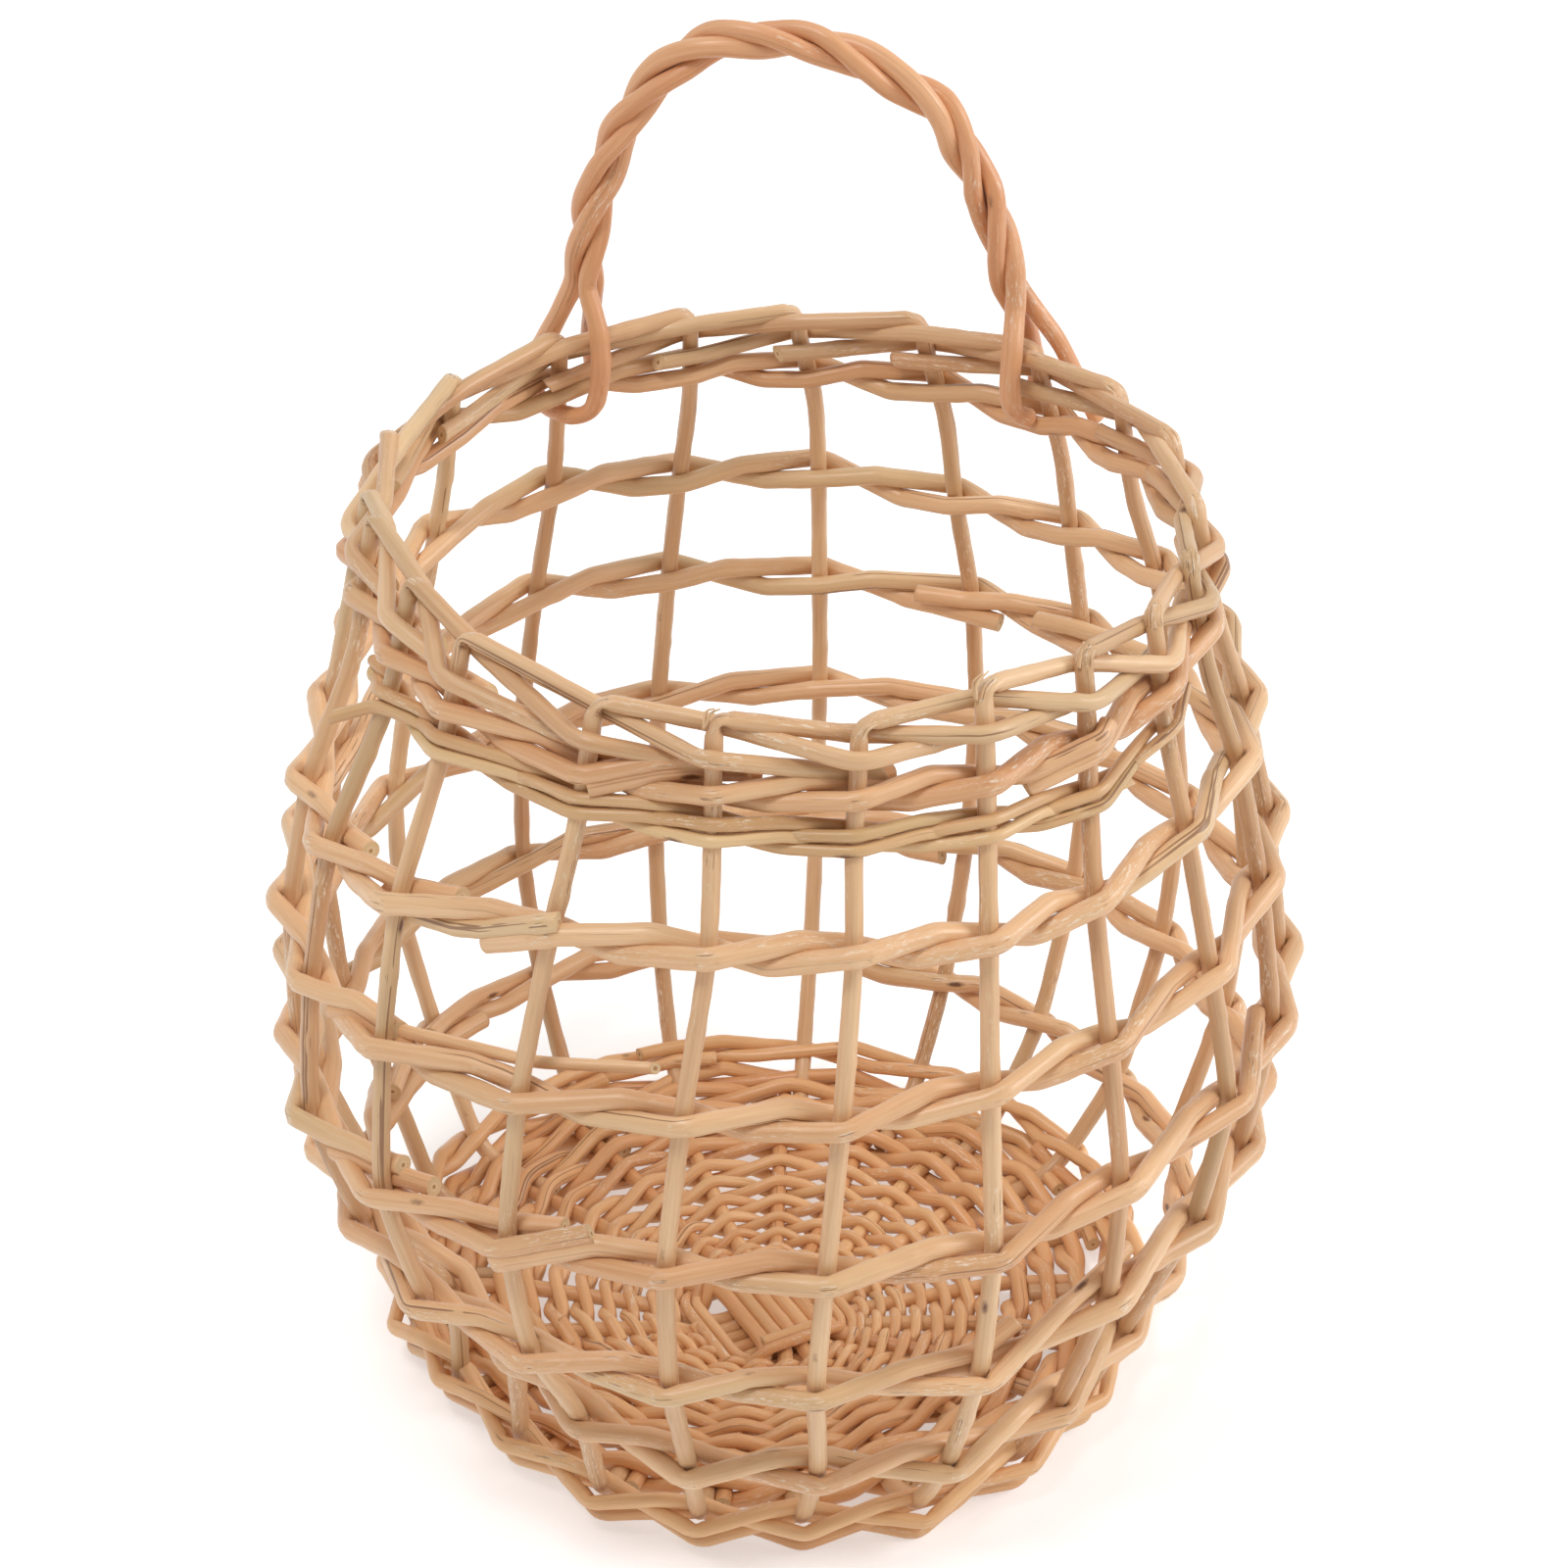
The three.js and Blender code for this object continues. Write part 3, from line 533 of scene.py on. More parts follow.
# %% Where the uprights and rings are
ROD = 3.2
BORDER_ROD = 3.1
BEARINGS = [-75, -60, -45, -25, -8, 8, 25, 42, 60, 75, 90, 106, 122, 138, 154, 174, 194, 212,
            232, 250, 268]
LEANS = {2: -4, 4: 1.5, 5: 2.5, 6: 2, 16: -3, 17: -4, 18: -5}
BOWS = {
    0: [0, 0, 0, 0, 0, -2, -4],
    1: [5, 1, 0, -1.5, -3, -2, 0],
    2: [5, 2, 0.5, 0, 0, 1, 3],
    3: [1.5, -1, -2.5, -2, 0.5, 1.5, 2.5],
    4: [0, -1.5, -2, -1, 1, 0.5, 0],
    5: [0.5, -1.5, -1.5, -0.5, 0.5, 0.5, 1],
    6: [0, 0, -0.5, -1, -0.5, 1, 1],
    7: [0, -0.5, -1.5, -2, -2, 1, 2],
    8: [0, -0.5, 0, -2, -3, -1, 0],
    13: [0, 0, 0, 0, 0, -2, 1],
    14: [0, 0, 0, 0, 1.5, 1, 4],
    15: [0, 0, 0, 0, 0, 0, 2.5],
    16: [0, 0, 0, 0, 0, 0, 1],
    17: [0, 0, 0, 0, 0, 2.5, 4],
    18: [0, 0, 0, 0, 0, 2.5, 4.5],
}
COUNT = len(BEARINGS)
LEAN_FROM_HEIGHT = 84
INSETS = {
    0: [2, 11.5, 8.5, 7, 2.5, 1.5, 5, 5],
    1: [5, 15.5, 7.5, 1.5, 0, 0, 5, 5],
    2: [4, 11, 2.5, 0, 0, 0, 4, 4],
    3: [1, 3.5, 0, 0, 0, 0, 1, 1],
    6: [-1.5, 0, 0, 0, 0, 0, 0, 0],
    7: [0, 3, 0, 0, 0, 0, 0, 0],
    8: [1, 7, 2, 0, 0, 0, 0, 0],
    9: [1, 6, 1.5, 0, 0, 0, 0, 0],
    10: [0, 2, 0, 0, 0, 0, 0, 0],
    18: [0, 2, 1, 1, 1, 1, 0, 0],
    19: [0, 5, 4, 4, 4, 4, 1.5, 1.5],
    20: [0, 7, 7, 7, 6, 6.5, 4, 4],
}
BASE_EDGE = (70.5, 7.8)
BANDS = [
    {"radius": 83.4, "height": 27.4, "tilt": -0.05, "join": 19,
     "lifts": {2: 3, 3: 4.5, 4: 3.5, 5: 4, 6: 2.5, 7: 2}},
    {"radius": 92.4, "height": 54.4, "tilt": 0.01, "join": 7,
     "lifts": {2: 2, 3: 4, 4: 3, 5: 3, 6: 0.5, 7: 6, 8: 3.5, 9: 3.5, 10: 2.5, 16: -1.5}},
    {"radius": 95, "height": 84.2, "tilt": 0.023, "join": 3,
     "lifts": {2: -2, 4: 1.5, 6: -1.5, 7: 2.5, 8: 1.5, 9: 1.5, 10: 1.5, 15: 1.5}},
    {"radius": 90.7, "height": 113.9, "tilt": 0.03, "join": 14,
     "lifts": {1: -3, 2: -3, 3: -1, 5: -1, 9: 1, 14: -1, 15: -1, 16: 2, 17: 4, 18: 2}},
    {"radius": 85.1, "height": 140.8, "tilt": 0.017, "join": 2,
     "lifts": {0: -3, 1: -6, 2: -5, 3: 2.5, 4: 3, 5: 2.5, 8: 1.5, 10: -1.5, 13: -1.5, 14: -2.5,
               17: 3, 18: 3}},
]
RIM_FOOT = (78.3, 159.8)
BORDER = (74.2, 180.2)
BORDER_LIFTS = {0: 4, 1: 4, 2: 1.8, 3: 1, 4: 1.5, 6: 3, 7: 2, 11: 2.5, 12: 2, 13: 1.8, 14: 1}
TOP_BAND = {
    "height": BORDER[1] - 11.8, "tilt": 0, "join": 5,
    "lifts": {0: 2, 1: 2, 2: 1, 3: 1, 4: 1.5, 6: -1, 7: -2, 8: -1, 13: -1, 14: -1.5, 15: -1.5,
              16: -0.5, 17: 0.5, 18: 0.5},
}
THIN_ROW = {
    "height": BORDER[1] - 19.3, "tilt": 0,
    "lifts": {1: 1, 2: 2, 3: 3, 4: 2.2, 6: -1.5, 7: -3.5, 8: -2},
}
OUTLINE = [BASE_EDGE] + [(band["radius"], band["height"]) for band in BANDS] + [RIM_FOOT, BORDER]
RADII, HEIGHTS = zip(*OUTLINE)


def on_ring(bearing, radius, height):
    angle = math.radians(bearing)
    return np.array([radius * math.sin(angle), -radius * math.cos(angle), height])


def outline_radius(height):
    if height > HEIGHTS[-1]:
        narrowing = (RADII[-1] - RADII[-2]) / (HEIGHTS[-1] - HEIGHTS[-2])
        return RADII[-1] + (height - HEIGHTS[-1]) * narrowing
    return float(np.interp(height, HEIGHTS, RADII))


def bearing_at(index, height):
    own = index % COUNT
    lean = LEANS.get(own, 0) * (height - LEAN_FROM_HEIGHT) / 100
    bow = np.interp(height, HEIGHTS, [0] + BOWS[own]) if own in BOWS else 0
    return BEARINGS[own] + lean + bow + 360 * (index // COUNT)


def inset_at(height, index):
    own = index % COUNT
    return np.interp(height, HEIGHTS, INSETS[own]) if own in INSETS else 0


def ring_at(height):
    """The wall there: its radius, its height and the way up along it"""
    rise = np.array([outline_radius(height + 3) - outline_radius(height - 3), 6])
    return outline_radius(height), height, rise / np.linalg.norm(rise)


def lifted_ring(band, lift):
    """Lifts move an open band straight up, but a band in the rim also follows the wall inwards"""
    if "fixed" in band:
        return band["fixed"]
    if "radius" in band:
        radius, height, rise = ring_at(band["height"])
        return radius, height + lift, rise
    return ring_at(band["height"] + lift)


def off_ring(ring, bearing, outwards, upwards, tilt):
    radius, height, rise = ring
    point = on_ring(bearing, radius + outwards * rise[1] + upwards * rise[0],
                    height - outwards * rise[0] + upwards * rise[1])
    point[2] += tilt * point[0]
    return point


def band_point(band, place, outwards, upwards):
    """A point of a band: place 3.5 is midway between uprights 3 and 4, on the chord"""
    index = math.floor(place)
    share = place - index
    height = band["height"]
    bearings = [bearing_at(index, height), bearing_at(index + 1, height)]
    lifts = [band["lifts"].get(i % COUNT, 0) for i in (index, index + 1)]
    insets = [inset_at(height, i) for i in (index, index + 1)]
    bearing, lift, inset = [a + (b - a) * share for a, b in (bearings, lifts, insets)]
    ring = lifted_ring(band, lift)
    half_step = math.radians(bearings[1] - bearings[0]) / 2
    sag = ring[0] * (1 - math.cos(half_step)) * 4 * share * (1 - share)
    return off_ring(ring, bearing, outwards - sag - inset, upwards, band["tilt"])


print("uprights:", COUNT, "rings:", len(OUTLINE))

# %% [markdown]
# ## The uprights and the border
# One rod does three jobs. Its foot lies beside a base stick, it bows up the body, and its tip is
# kinked over to the right: it goes behind the next upright, in front of the one after and ends
# behind the third. Twenty-one tips laid like that make the border. A few of them splinter where
# they were kinked.

# %% Uprights
BASE_HEIGHT = 4.7
# An upright's foot lies this far beside its stick, and ends this far from the axis
FOOT_SPACING, FOOT_END = 3.2, 51.5
# How far two rods are pressed into each other where they cross
PRESS = 0.3
# How far below the top of the border a tip lies behind the next upright, in front of the one
# after, by that upright's number, and behind the third
BEHIND_DROP, BACK_BEHIND_DROP, BACK_BEHINDS = 2.6, 1.0, range(10, 19)
FRONT_DROP = 7.0
FRONT_DROPS = {3: 5.5, 4: 5.0, 5: 4.7, 6: 6.4, 7: 6.8, 12: 6.2, 13: 5.8, 14: 5.8, 15: 5.8, 16: 5.8,
               17: 5.8, 18: 6.2}
TIP_DROP, BACK_TIP_DROP, BACK_TIPS = 9.2, 8.2, range(10, 17)
STEM_EASE, TIP_EASE = 5, 0.9
SPLINTERED = (4, 6, 7)


def stick_bearing(index):
    angle = math.asin(FOOT_SPACING / BASE_EDGE[0])
    return bearing_at(index, BASE_EDGE[1]) + math.degrees(angle)


def beside_stick(index, distance, height):
    along = on_ring(stick_bearing(index), distance, height)
    return along + on_ring(stick_bearing(index) - 90, FOOT_SPACING, 0)


def border_point(index, turned, aside, drop):
    """A point of the border: turned past an upright, aside of the wall and below the top"""
    height = BORDER[1] - drop
    radius = outline_radius(height) - inset_at(height, index) + aside
    point = on_ring(bearing_at(index, BORDER[1]) + turned, radius, height)
    point[2] += BORDER_LIFTS.get(index % COUNT, 0)
    return point


def upright_path(index):
    stem = [
        beside_stick(index, FOOT_END, BASE_HEIGHT),
        beside_stick(index, BASE_EDGE[0] - 6, BASE_HEIGHT),
        beside_stick(index, BASE_EDGE[0] - 2.4, BASE_HEIGHT + 0.8),
        on_ring(bearing_at(index, BASE_EDGE[1]), *BASE_EDGE),
    ]
    stem[-1] -= on_ring(bearing_at(index, BASE_EDGE[1]), inset_at(BASE_EDGE[1], index), 0)
    stem += [band_point(band, index, 0, 0) for band in BANDS]
    rim_radius = RIM_FOOT[0] - inset_at(RIM_FOOT[1], index)
    stem.append(on_ring(bearing_at(index, RIM_FOOT[1]), rim_radius, RIM_FOOT[1]))
    stem.append(border_point(index, 0, 0, 5))
    stem = eased(stem, STEM_EASE)
    aside = (ROD + BORDER_ROD) / 2 - PRESS
    chance = np.random.RandomState(700 + index)
    wander = chance.uniform(-0.4, 0.4, 6)
    front_drop = FRONT_DROPS.get((index + 2) % COUNT, FRONT_DROP)
    tip_drop = BACK_TIP_DROP if index in BACK_TIPS else TIP_DROP
    behind_drop = BACK_BEHIND_DROP if index in BACK_BEHINDS else BEHIND_DROP
    tip = [
        border_point(index, 0, 0, 2),
        border_point(index, 0.3 + wander[0], 0, -0.3),
        border_point(index + 1, 0, -aside, behind_drop + wander[1]),
        border_point(index + 2, -1.2, aside, front_drop + wander[2]),
        border_point(index + 2, 1.0, aside - 0.3, front_drop + 0.2 + wander[2]),
        border_point(index + 3, -1.0, -aside, tip_drop + wander[3]),
        border_point(index + 3, 4.5 + 4 * wander[4], -aside - 0.4, tip_drop + 0.4 + wander[3]),
    ]
    return eased(np.vstack([stem[:-1], tip]), TIP_EASE)


def splinter(index, seed):
    chance = np.random.RandomState(seed)
    root = border_point(index, -1.2, 0.4, 1.5)
    away = border_point(index, chance.uniform(-1.8, 0), chance.uniform(0, 1), -1.6)
    end = border_point(index, chance.uniform(-0.5, 1.5), chance.uniform(0, 1.6), -2.6)
    return bent_rod(eased([root, away, end], 0.8), (0.8, 0.3), seed, sides=6)


for index in range(COUNT):
    rods = [bent_rod(upright_path(index), (ROD + 0.15, BORDER_ROD), 100 + index, slants=(0, 0.6),
                     flattening=BORDER_FLATTENING)]
    if index in SPLINTERED:
        rods += [splinter(index, 130 + index), splinter(index, 160 + index)]
    finish_piece(f"upright_{index + 1:02d}", rods, "upright_rod")
print("upright length, mm:", round(len(upright_path(0)) * STEP))

# %% [markdown]
# ## The open bands
# Each band is a pair of rods twined round the uprights. At each upright one rod is in front and
# the other behind. Between two uprights the rod that is on its way in rides up over the other.
# A willow rod doesn't flow round an upright: it kinks there and stays nearly straight between.
# Where the round closes, the rods' ends lap: they lie one above the other inside the uprights
# and stick out a little past them. A few rods are pieced, so a new butt shows beside an old tip.

# %% Twined bands
BAND_ROD = 3.7
# How far a crossing strays at random, how far past an upright the ends stick out as a share of
# the way to the next, and how far a rod rises over the other as a share of its thickness
WANDER, LAP, OVER_LIFT = 0.4, 0.32, 0.57
TWINED_EASE = 0.7
# Where a new rod is laid in, as a place between two uprights, by band and strand
SPLICES = {("band_5", 1): [2.87], ("band_3", 0): [3.25], ("band_3", 1): [8.6, 22.75],
           ("band_2", 0): [14.4], ("band_4", 0): [22.7], ("top_band", 0): [6.83],
           ("top_band", 1): [24.45]}
SPLICE_HALF_LENGTH = 9
TAIL_ROD = 2.6


def twined_strand(band, diameter, strand, seed):
    aside = (ROD + diameter) / 2 - PRESS
    lift = diameter * OVER_LIFT
    chance = np.random.RandomState(seed)
    first = -1 if strand == 0 else 0
    last = COUNT if strand == 0 else COUNT - 1
    start = band["join"] + COUNT
    corners = [band_point(band, start + first - LAP, -aside, -diameter / 2)]
    for i in range(first, last + 1):
        side = 1 if (i + strand) % 2 == 0 else -1
        own, along, upwards = chance.uniform(-WANDER, WANDER, 3)
        if i == first:
            upwards -= diameter / 2
        if i == last:
            upwards += diameter / 2
        corners.append(band_point(band, start + i, side * aside, upwards))
        if i < last:
            # A rod on its way in crosses a little past the middle, and one on its way out before
            share = 0.5 + 0.1 * side + along * 0.12
            crossed = side * aside * (1 - 2 * share)
            corners.append(band_point(band, start + i + share, crossed, side * lift + own * 0.5))
    corners.append(band_point(band, start + last + LAP, -aside - 0.5, diameter * 0.6))
    return corners


def spliced(path, place, diameter):
    """The old rod runs on past the place, above the new one, which starts before it"""
    middle = int(np.argmin(np.linalg.norm(path - place, axis=1)))
    half = int(SPLICE_HALF_LENGTH / STEP)
    fall = np.array([0, 0, diameter])
    old, new = path[:middle + half].copy(), path[middle - half:].copy()
    ramp_up = np.linspace(0, 1, 2 * half)[:, None]
    old[-2 * half:] += fall * ramp_up * 0.7
    new[:2 * half] -= fall * ramp_up[::-1] * 0.7
    return [old, new]


def strand_rods(name, band, strand, path, diameter, seed):
    rods = [path]
    for place in SPLICES.get((name, strand), []):
        rods += spliced(rods.pop(), band_point(band, place + COUNT, 0, 0), diameter)
    sizes = (diameter * 1.05, diameter * 0.94)
    return [bent_rod(rod, sizes, seed + 7 * k) for k, rod in enumerate(rods)]


def add_twined(name, band, diameter, seed, slot):
    for strand in range(2):
        path = eased(twined_strand(band, diameter, strand, seed + strand), TWINED_EASE)
        rods = strand_rods(name, band, strand, path, diameter, seed + 100 * strand)
        if (name, strand) in TAILS:
            rods.append(TAILS[name, strand]())
        finish_piece(f"{name}_{'ab'[strand]}", rods, slot)


def long_tail():
    """A thin tip that was never trimmed: it runs straight on inside the uprights"""
    aside = (ROD + TAIL_ROD) / 2
    band = BANDS[3]
    corners = [band_point(band, 1.75, -aside, 1.0), band_point(band, 2, -aside, 1.6),
               band_point(band, 3.0, -aside - 2, 4.0), band_point(band, 3.77, -7, 5.2)]
    return bent_rod(eased(corners, 2.5), (2.7, 2.0), 233, sides=12, slants=(0.3, 0.7))


TAILS = {("band_4", 1): long_tail}
for k, band in enumerate(BANDS):
    add_twined(f"band_{k + 1}", band, BAND_ROD, 200 + 10 * k, "band_rod")
print("bands:", len(BANDS))

# %% [markdown]
# ## The rim
# Under the border lies one thick twined pair. In front, where the rim is deepest, it is packed
# with a row of doubled rods: two thin ones, one above the other, go round as one.

# %% Rim bands
TOP_ROD = 3.5
THIN_ROD = 2.3
# The uprights where the thin row's rods start and end, and their levels in the doubled pair
THIN_FROM, THIN_TO = 1, {"upper": 8, "lower": 7}
THIN_LEVELS = {"upper": 0.5, "lower": -0.5}
THIN_GAP = 0.5
THIN_LIFT = 1.3
THIN_EASE = 1.2

add_twined("top_band", TOP_BAND, TOP_ROD, 300, "band_rod")


def thin_strand(row, strand, seed):
    """The lower rod of the second strand starts with a tail that hangs out in front"""
    aside = (ROD + THIN_ROD) / 2 - PRESS
    level = THIN_LEVELS[row]
    chance = np.random.RandomState(seed)
    corners = []
    for i in range(THIN_FROM - 1, THIN_TO[row] + 1):
        side = 1 if (i + strand) % 2 == 0 else -1
        upwards = level * (THIN_ROD + THIN_GAP) + chance.uniform(-0.2, 0.2)
        if i >= THIN_FROM:
            corners.append(band_point(THIN_ROW, i + COUNT, side * aside, upwards))
        apart = side * THIN_LIFT + level * THIN_ROD
        corners.append(band_point(THIN_ROW, i + COUNT + 0.5, side * 0.5, apart))
    if row == "lower" and strand == 1:
        corners[0] = band_point(THIN_ROW, THIN_FROM + COUNT - 0.25, 8, -6)
    return corners


for k, row in enumerate(THIN_LEVELS):
    for strand in range(2):
        seed = 2 * k + strand
        path = eased(thin_strand(row, strand, 71 + seed), THIN_EASE)
        thin = bent_rod(path, (THIN_ROD * 1.05, THIN_ROD * 0.9), 320 + seed, sides=12,
                        slants=(0.5, 0.6))
        finish_piece(f"thin_row_{row}_{'ab'[strand]}", [thin], "thin_rod")
print("rim rods:", 2 + 2 * len(THIN_LEVELS))

# %% [markdown]
# ## The base's edge
# Where the uprights turn up out of the base, two twined rounds hold them. They are the rods that
# the basket's side starts from.

# %% Edge rounds
EDGE_ROD = 2.9
# Each round's radius, its height and the way up the wall, which leans far out here
EDGE_RINGS = [(BASE_EDGE[0] - 1.2, BASE_HEIGHT - 0.3, np.array([0.8, 0.6])),
              (BASE_EDGE[0] + 2.2, BASE_HEIGHT + 4.9, np.array([0.5, 0.866]))]
EDGE_JOINS = [12, 17]
for k, (ring, join) in enumerate(zip(EDGE_RINGS, EDGE_JOINS)):
    band = {"height": BASE_EDGE[1], "tilt": 0, "join": join, "lifts": {}, "fixed": ring}
    add_twined(f"edge_round_{k + 1}", band, EDGE_ROD, 340 + 10 * k, "base_rod")
print("edge rounds:", len(EDGE_RINGS))

# %% [markdown]
# ## The base
# Sticks are crossed in the middle, five over six, bound in place with a pair of rods and then
# bent apart like the ribs of a fan. A pair of thin rods is twined round them from the middle
# out; they get thicker as the rounds get longer, and new lengths are pieced on. The cross has
# slid forwards of the axis. Each arm's path is kept, so that the weave can follow the sticks
# where they fan out.

# %% Base sticks
STICK = 3.0
# The cross is turned by its bearing, and its arms start to fan out at its reach
SLATH_BEARING = 28.5
SLATH_REACH = 12.5
SLATH_OFFSET = np.array([1.5, -8.5, 0])
# A stick bends at the first radius, runs straight outwards from the second and ends at the third
FAN_RADIUS, STRAIGHT_FROM, STICK_END = 22, 47, 63
FAN_SLIDE = 0.7
STICK_EASE = 2.0
# The uprights beside the two ends of each stick; the last lower stick has only one end
FRONT, BACK = [4, 5, 6, 7, 8], [19, 18, 17, 16, 15]
RIGHT, LEFT = [9, 10, 11, 12, 13, 14], [3, 2, 1, 0, 20, None]
stick_arms = {}


def on_cross(axis, along, lane, height):
    """A point of the cross: along an arm's axis and, in its lane, to the side of it"""
    return on_ring(axis, along, height) + on_ring(axis + 90, lane, 0) + SLATH_OFFSET


def stick_arm(axis, lane, index, height):
    bearing = stick_bearing(index)
    start = on_cross(axis, SLATH_REACH - abs(lane) * 0.45, lane, height)
    fan = on_ring(bearing, FAN_RADIUS, BASE_HEIGHT) + SLATH_OFFSET * FAN_SLIDE
    outer = [on_ring(bearing, radius, BASE_HEIGHT) for radius in (STRAIGHT_FROM, STICK_END)]
    stick_arms[index] = eased([start, fan] + outer, STICK_EASE)
    return [start, fan] + outer


def stick_path(axis, lane, near, far, height):
    first = stick_arm(axis, lane, near, height)[::-1]
    if far is None:
        return eased(first + [on_cross(axis, 0, lane, height)], STICK_EASE)
    return eased(first + stick_arm(axis + 180, -lane, far, height), STICK_EASE)


def add_sticks(name, axis, ends, height, seed):
    for k, (near, far) in enumerate(ends):
        lane = (k - (len(ends) - 1) / 2) * STICK
        rod = bent_rod(stick_path(axis, lane, near, far, height), STICK, seed + k, sides=12)
        finish_piece(f"{name}_{k + 1}", [rod], "base_rod")


add_sticks("base_stick_upper", SLATH_BEARING, list(zip(FRONT, BACK)), BASE_HEIGHT + STICK / 2, 400)
add_sticks("base_stick_lower", SLATH_BEARING + 90, list(zip(RIGHT, LEFT)), BASE_HEIGHT - STICK / 2,
           410)
print("arms of sticks:", len(stick_arms))

# %% Binding round the crossed sticks
BINDING_ROD = 2.2
BINDING_REACH = 10.4
BINDING_CORNER, CORNER_APART = 13.2, 1.1
BINDING_ROUNDS = 2
FINE_EASE = 1.0
FLOOR_GAP = 0.1
arm_half = [2.5 * STICK, 3 * STICK, 2.5 * STICK, 3 * STICK]
for strand in range(2):
    corners = []
    for arm in range(4 * BINDING_ROUNDS):
        axis = SLATH_BEARING + 90 * arm
        over = (arm + strand) % 2 == 0
        rise = STICK / 2 + BINDING_ROD / 2 + (STICK / 2 if strand == 0 else -STICK / 2) - PRESS
        height = max(BASE_HEIGHT + (rise if over else -rise), BINDING_ROD / 2 + FLOOR_GAP)
        outer = arm / 4 * BINDING_ROD
        for side in (-1, 1):
            corners.append(on_cross(axis, BINDING_REACH + outer, side * arm_half[arm % 4], height))
        apart = -CORNER_APART if over else CORNER_APART
        corners.append(on_cross(axis + 45, BINDING_CORNER + outer + apart, 0, BASE_HEIGHT))
    corners.pop()
    rod = bent_rod(eased(corners, FINE_EASE), BINDING_ROD, 430 + strand, sides=12)
    finish_piece(f"base_binding_{'ab'[strand]}", [rod], "base_rod")
print("rounds of binding:", BINDING_ROUNDS)

# %% Base weave
WOVEN_FROM = 16.0
# The first round's distance to the next, how much it grows from round to round, and how much of
# it one of the two rods takes up
FIRST_PITCH, PITCH_GROWTH = 3.3, 0.31
WEAVER_SHARE = 0.51
ROUNDS = 10
WEAVER_LENGTHS = 5


def weave_radius(rounds):
    return WOVEN_FROM + FIRST_PITCH * rounds + PITCH_GROWTH / 2 * rounds ** 2


def weaver_thickness(rounds):
    return (FIRST_PITCH + PITCH_GROWTH * rounds) * WEAVER_SHARE


def weave_centre(radius):
    """The first rounds lie round the cross's middle, and the last ones round the axis"""
    return SLATH_OFFSET * np.interp(radius, [WOVEN_FROM, STRAIGHT_FROM], [1, 0])


def stick_at(index, radius):
    """Where a stick passes under the round of that radius: its bearing there and its height"""
    arm = stick_arms[index % COUNT] - weave_centre(radius)
    radii = np.hypot(arm[:, 0], arm[:, 1])
    bearings = np.degrees(np.unwrap(np.arctan2(arm[:, 0], -arm[:, 1])))
    bearings += 360 * round((stick_bearing(index) - bearings[-1]) / 360)
    return np.interp(radius, radii, bearings), np.interp(radius, radii, arm[:, 2])


def weaver_corners(strand, first, last, chance):
    """Near the edge an upright's foot lies beside each stick, and the weaver passes over both"""
    corners = []
    for i in range(first, last + 1):
        rounds = i / COUNT
        radius = weave_radius(rounds) + chance.uniform(-0.4, 0.4)
        thick = weaver_thickness(rounds)
        side = 1 if (i + strand) % 2 == 0 else -1
        rise = (STICK + thick) / 2 - PRESS
        foot = math.degrees(math.asin(FOOT_SPACING / radius)) if radius > FOOT_END - 3 else 0
        here, level = stick_at(i, radius)
        beyond, _ = stick_at(i + 1, radius)
        height = max(level + side * rise, thick / 2 + FLOOR_GAP)
        centre = weave_centre(radius)
        if foot:
            corners.append(on_ring(here - foot, radius, height) + centre)
        corners.append(on_ring(here, radius, height) + centre)
        middle = (here + beyond - foot) / 2
        corners.append(on_ring(middle, radius - side * thick / 2, BASE_HEIGHT) + centre)
    return corners


total = ROUNDS * COUNT
for strand in range(2):
    chance = np.random.RandomState(91 + strand)
    rods = []
    for k in range(WEAVER_LENGTHS):
        first, last = total * k // WEAVER_LENGTHS, total * (k + 1) // WEAVER_LENGTHS
        sizes = (weaver_thickness(first / COUNT), weaver_thickness(last / COUNT))
        path = eased(weaver_corners(strand, first, last, chance), FINE_EASE)
        rods.append(bent_rod(path, sizes, 440 + 10 * strand + k, sides=12))
    finish_piece(f"base_weaver_{'ab'[strand]}", rods, "base_rod")
print("woven out to, mm:", round(weave_radius(ROUNDS), 1))

# %% [markdown]
# ## The handle
# Three thick rods are twisted into a rope and bent into a hoop. At each foot they part. One goes
# down inside the rim: at the left it hooks under the rim, at the right it is tucked between the
# two rods of the band there. The other two go down outside. The rope isn't even: each strand
# lies now nearer the rope's middle and now further out, and runs a little ahead or behind.

# %% Handle strands
HANDLE_ROD = 3.6
STRAND_RODS = (3.5, 3.9, 3.4)
# Points of the hoop: across, back from the border's ring and up from the border
HANDLE_LINE = [
    (-35, -8, 10), (-34.5, -8, 22), (-31, -8.5, 34.5), (-26, -9, 45.5), (-19, -9.5, 55),
    (-9, -10.5, 60), (2, -11, 60.5), (14, -12, 57), (24, -13, 52.5), (32.5, -14, 45),
    (36.5, -14, 35.5), (39.5, -14.5, 26.5), (43, -15, 17), (44.5, -15, 10),
]
HANDLE_TURNS = 10 / 3
HOOP_EASE, STRAND_EASE = 5, 1.6
ROPE_STEPS = 110
START_PHASES = (-90, 30, 150)
ROPE_RADIUS = HANDLE_ROD / math.sqrt(3) * 1.06
RIM_INSIDE = BORDER[0] - 7.2
RIM_UNDER = TOP_BAND["height"] - 7.2
RIM_OUTSIDE = outline_radius(TOP_BAND["height"]) + 7.6

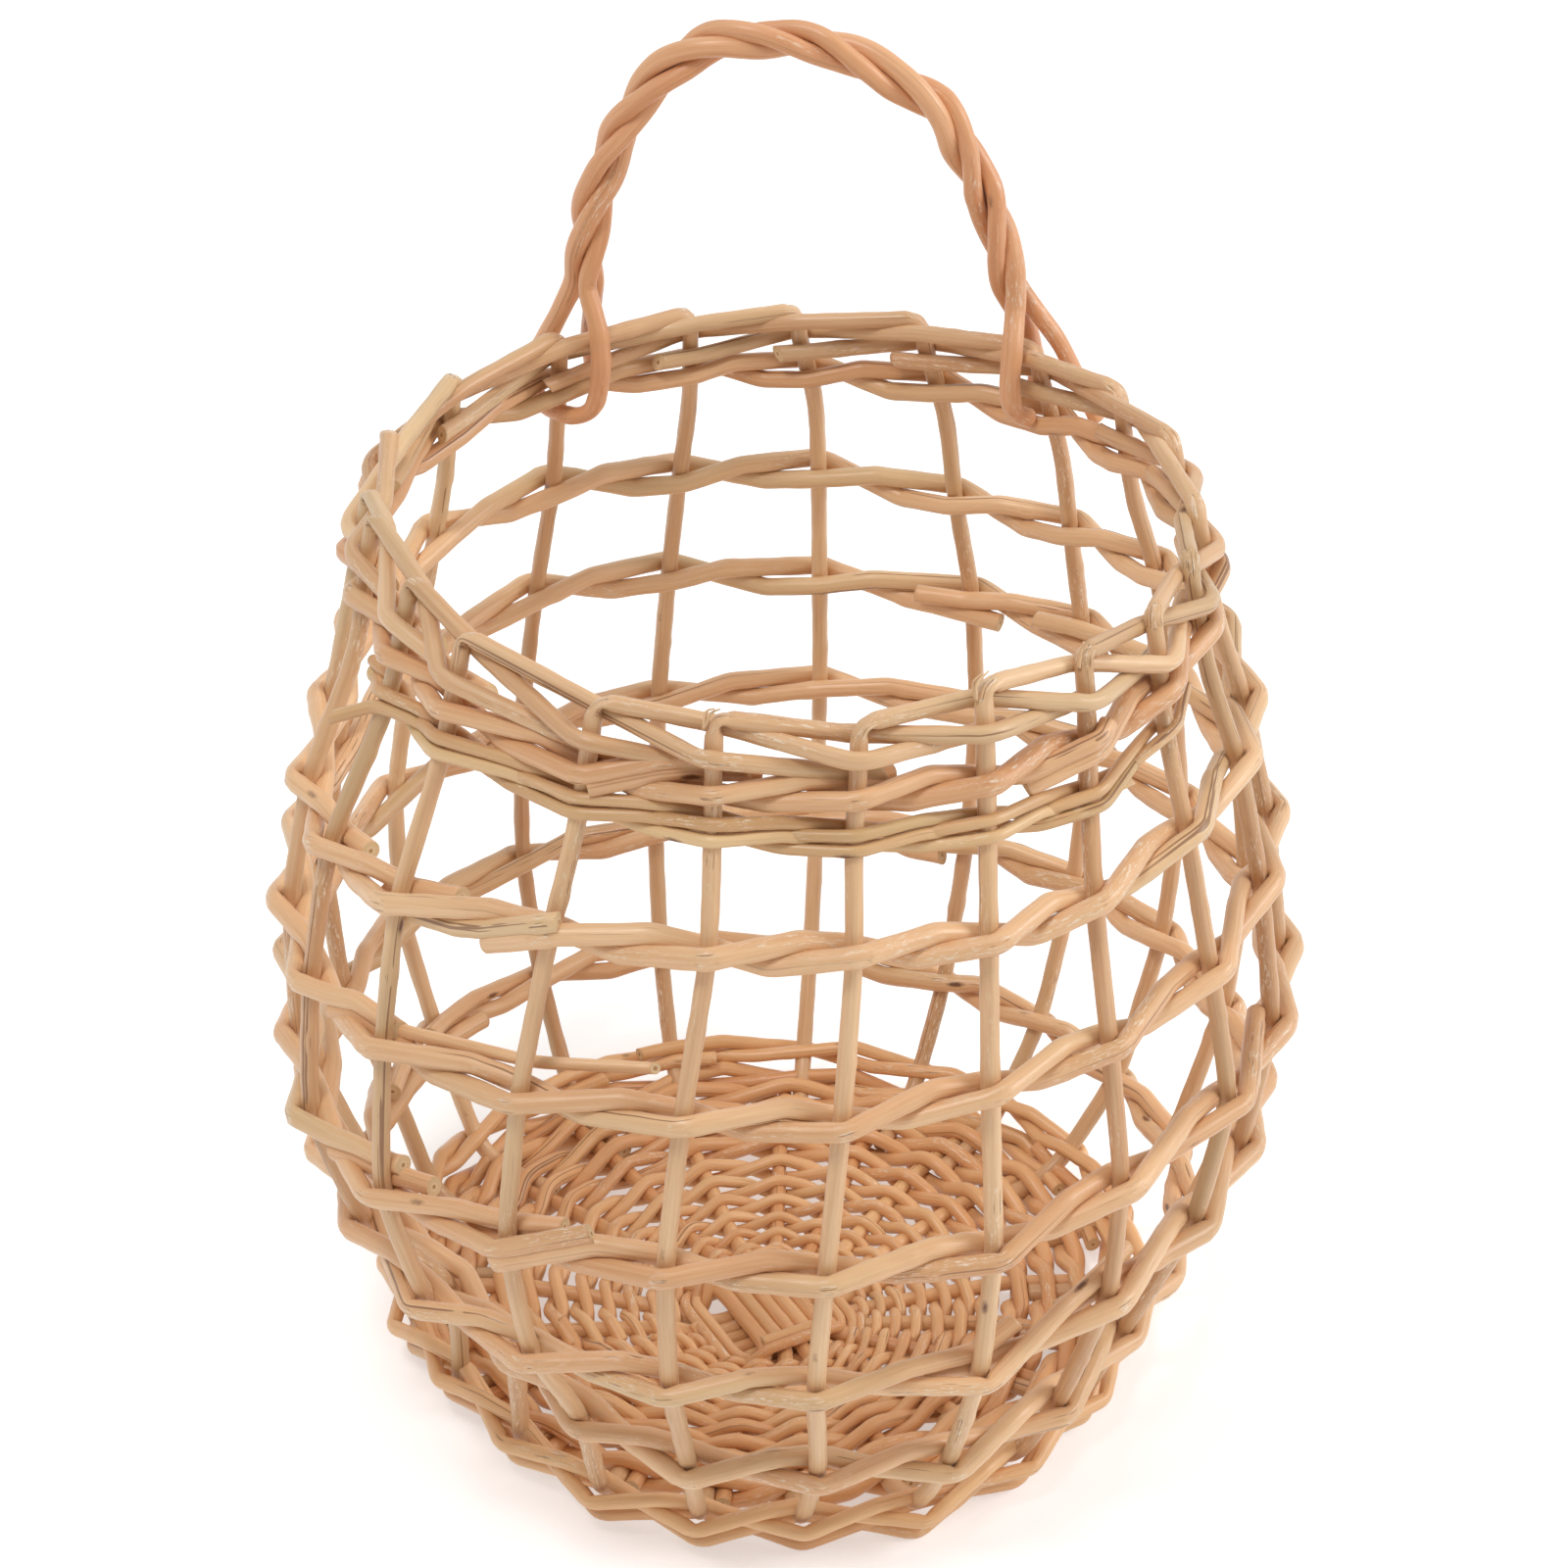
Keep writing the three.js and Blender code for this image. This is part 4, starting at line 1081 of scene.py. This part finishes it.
hoop = eased([(x, BORDER[0] + back, BORDER[1] + up) for x, back, up in HANDLE_LINE], HOOP_EASE)
places = np.linspace(0, len(hoop) - 1, ROPE_STEPS + 1)
hoop = at_places(places, np.arange(len(hoop)), hoop)
hoop_tangents = np.gradient(hoop, axis=0)
hoop_tangents /= np.linalg.norm(hoop_tangents, axis=1)[:, None]
backs = np.array([0, 1, 0]) - hoop_tangents * hoop_tangents[:, 1:2]
backs /= np.linalg.norm(backs, axis=1)[:, None]
outwards = np.cross(hoop_tangents, backs)


def hooked_foot(bearing):
    """Down inside the rim, under it and a little up outside"""
    return [
        on_ring(bearing, RIM_INSIDE + 0.8, BORDER[1] + 3),
        on_ring(bearing, RIM_INSIDE, BORDER[1] - 4),
        on_ring(bearing, RIM_INSIDE + 1.5, RIM_UNDER + 8),
        on_ring(bearing + 0.5, RIM_INSIDE + 2.8, RIM_UNDER + 4.2),
        on_ring(bearing + 2.5, RIM_INSIDE + 5, RIM_UNDER + 2.4),
        on_ring(bearing + 4.5, RIM_OUTSIDE - 6, RIM_UNDER + 2.2),
        on_ring(bearing + 5, RIM_OUTSIDE, RIM_UNDER + 5),
    ]


def tucked_foot(bearing):
    """Down inside the rim, and in between the two rods of the band under the border"""
    return [
        on_ring(bearing + 0.5, RIM_INSIDE + 0.5, BORDER[1] + 3),
        on_ring(bearing + 0.5, RIM_INSIDE, BORDER[1] - 4),
        on_ring(bearing, RIM_INSIDE + 0.8, RIM_UNDER + 10),
        on_ring(bearing - 0.5, RIM_INSIDE + 5, RIM_UNDER + 7.5),
    ]


def outer_foot(bearing, drift):
    """Down outside the rim, drifting a few degrees to one side"""
    return [
        on_ring(bearing, RIM_OUTSIDE - 5, BORDER[1] + 2),
        on_ring(bearing + drift * 0.3, RIM_OUTSIDE - 1.5, BORDER[1] - 6),
        on_ring(bearing + drift, RIM_OUTSIDE + 0.2, RIM_UNDER + 5),
    ]


LEFT_FEET = [hooked_foot(208.5), outer_foot(210.5, 5), outer_foot(205.5, -1.5)]
RIGHT_FEET = [outer_foot(143, 1), tucked_foot(139), outer_foot(138, -4)]
share = np.linspace(0, 1, ROPE_STEPS + 1)
for strand in range(len(STRAND_RODS)):
    slack = 1 + 0.1 * np.sin(share * 23 + 2.1 * strand) + 0.07 * np.sin(share * 61 + 4.3 * strand)
    drift = 9 * np.sin(share * 17 + 1.7 * strand) + 6 * np.sin(share * 41 + 3.1 * strand)
    phase = np.radians(START_PHASES[strand] + drift - 360 * HANDLE_TURNS * share)[:, None]
    spread = (ROPE_RADIUS * slack)[:, None]
    rope = hoop + spread * (outwards * np.cos(phase) + backs * np.sin(phase))
    corners = np.vstack([LEFT_FEET[strand][::-1], rope, RIGHT_FEET[strand]])
    sizes = (STRAND_RODS[strand] * 1.02, STRAND_RODS[strand] * 0.97)
    rod = bent_rod(eased(corners, STRAND_EASE), sizes, 460 + strand, sides=18)
    finish_piece(f"handle_strand_{strand + 1}", [rod], "handle_rod")
print("handle strands:", len(STRAND_RODS))
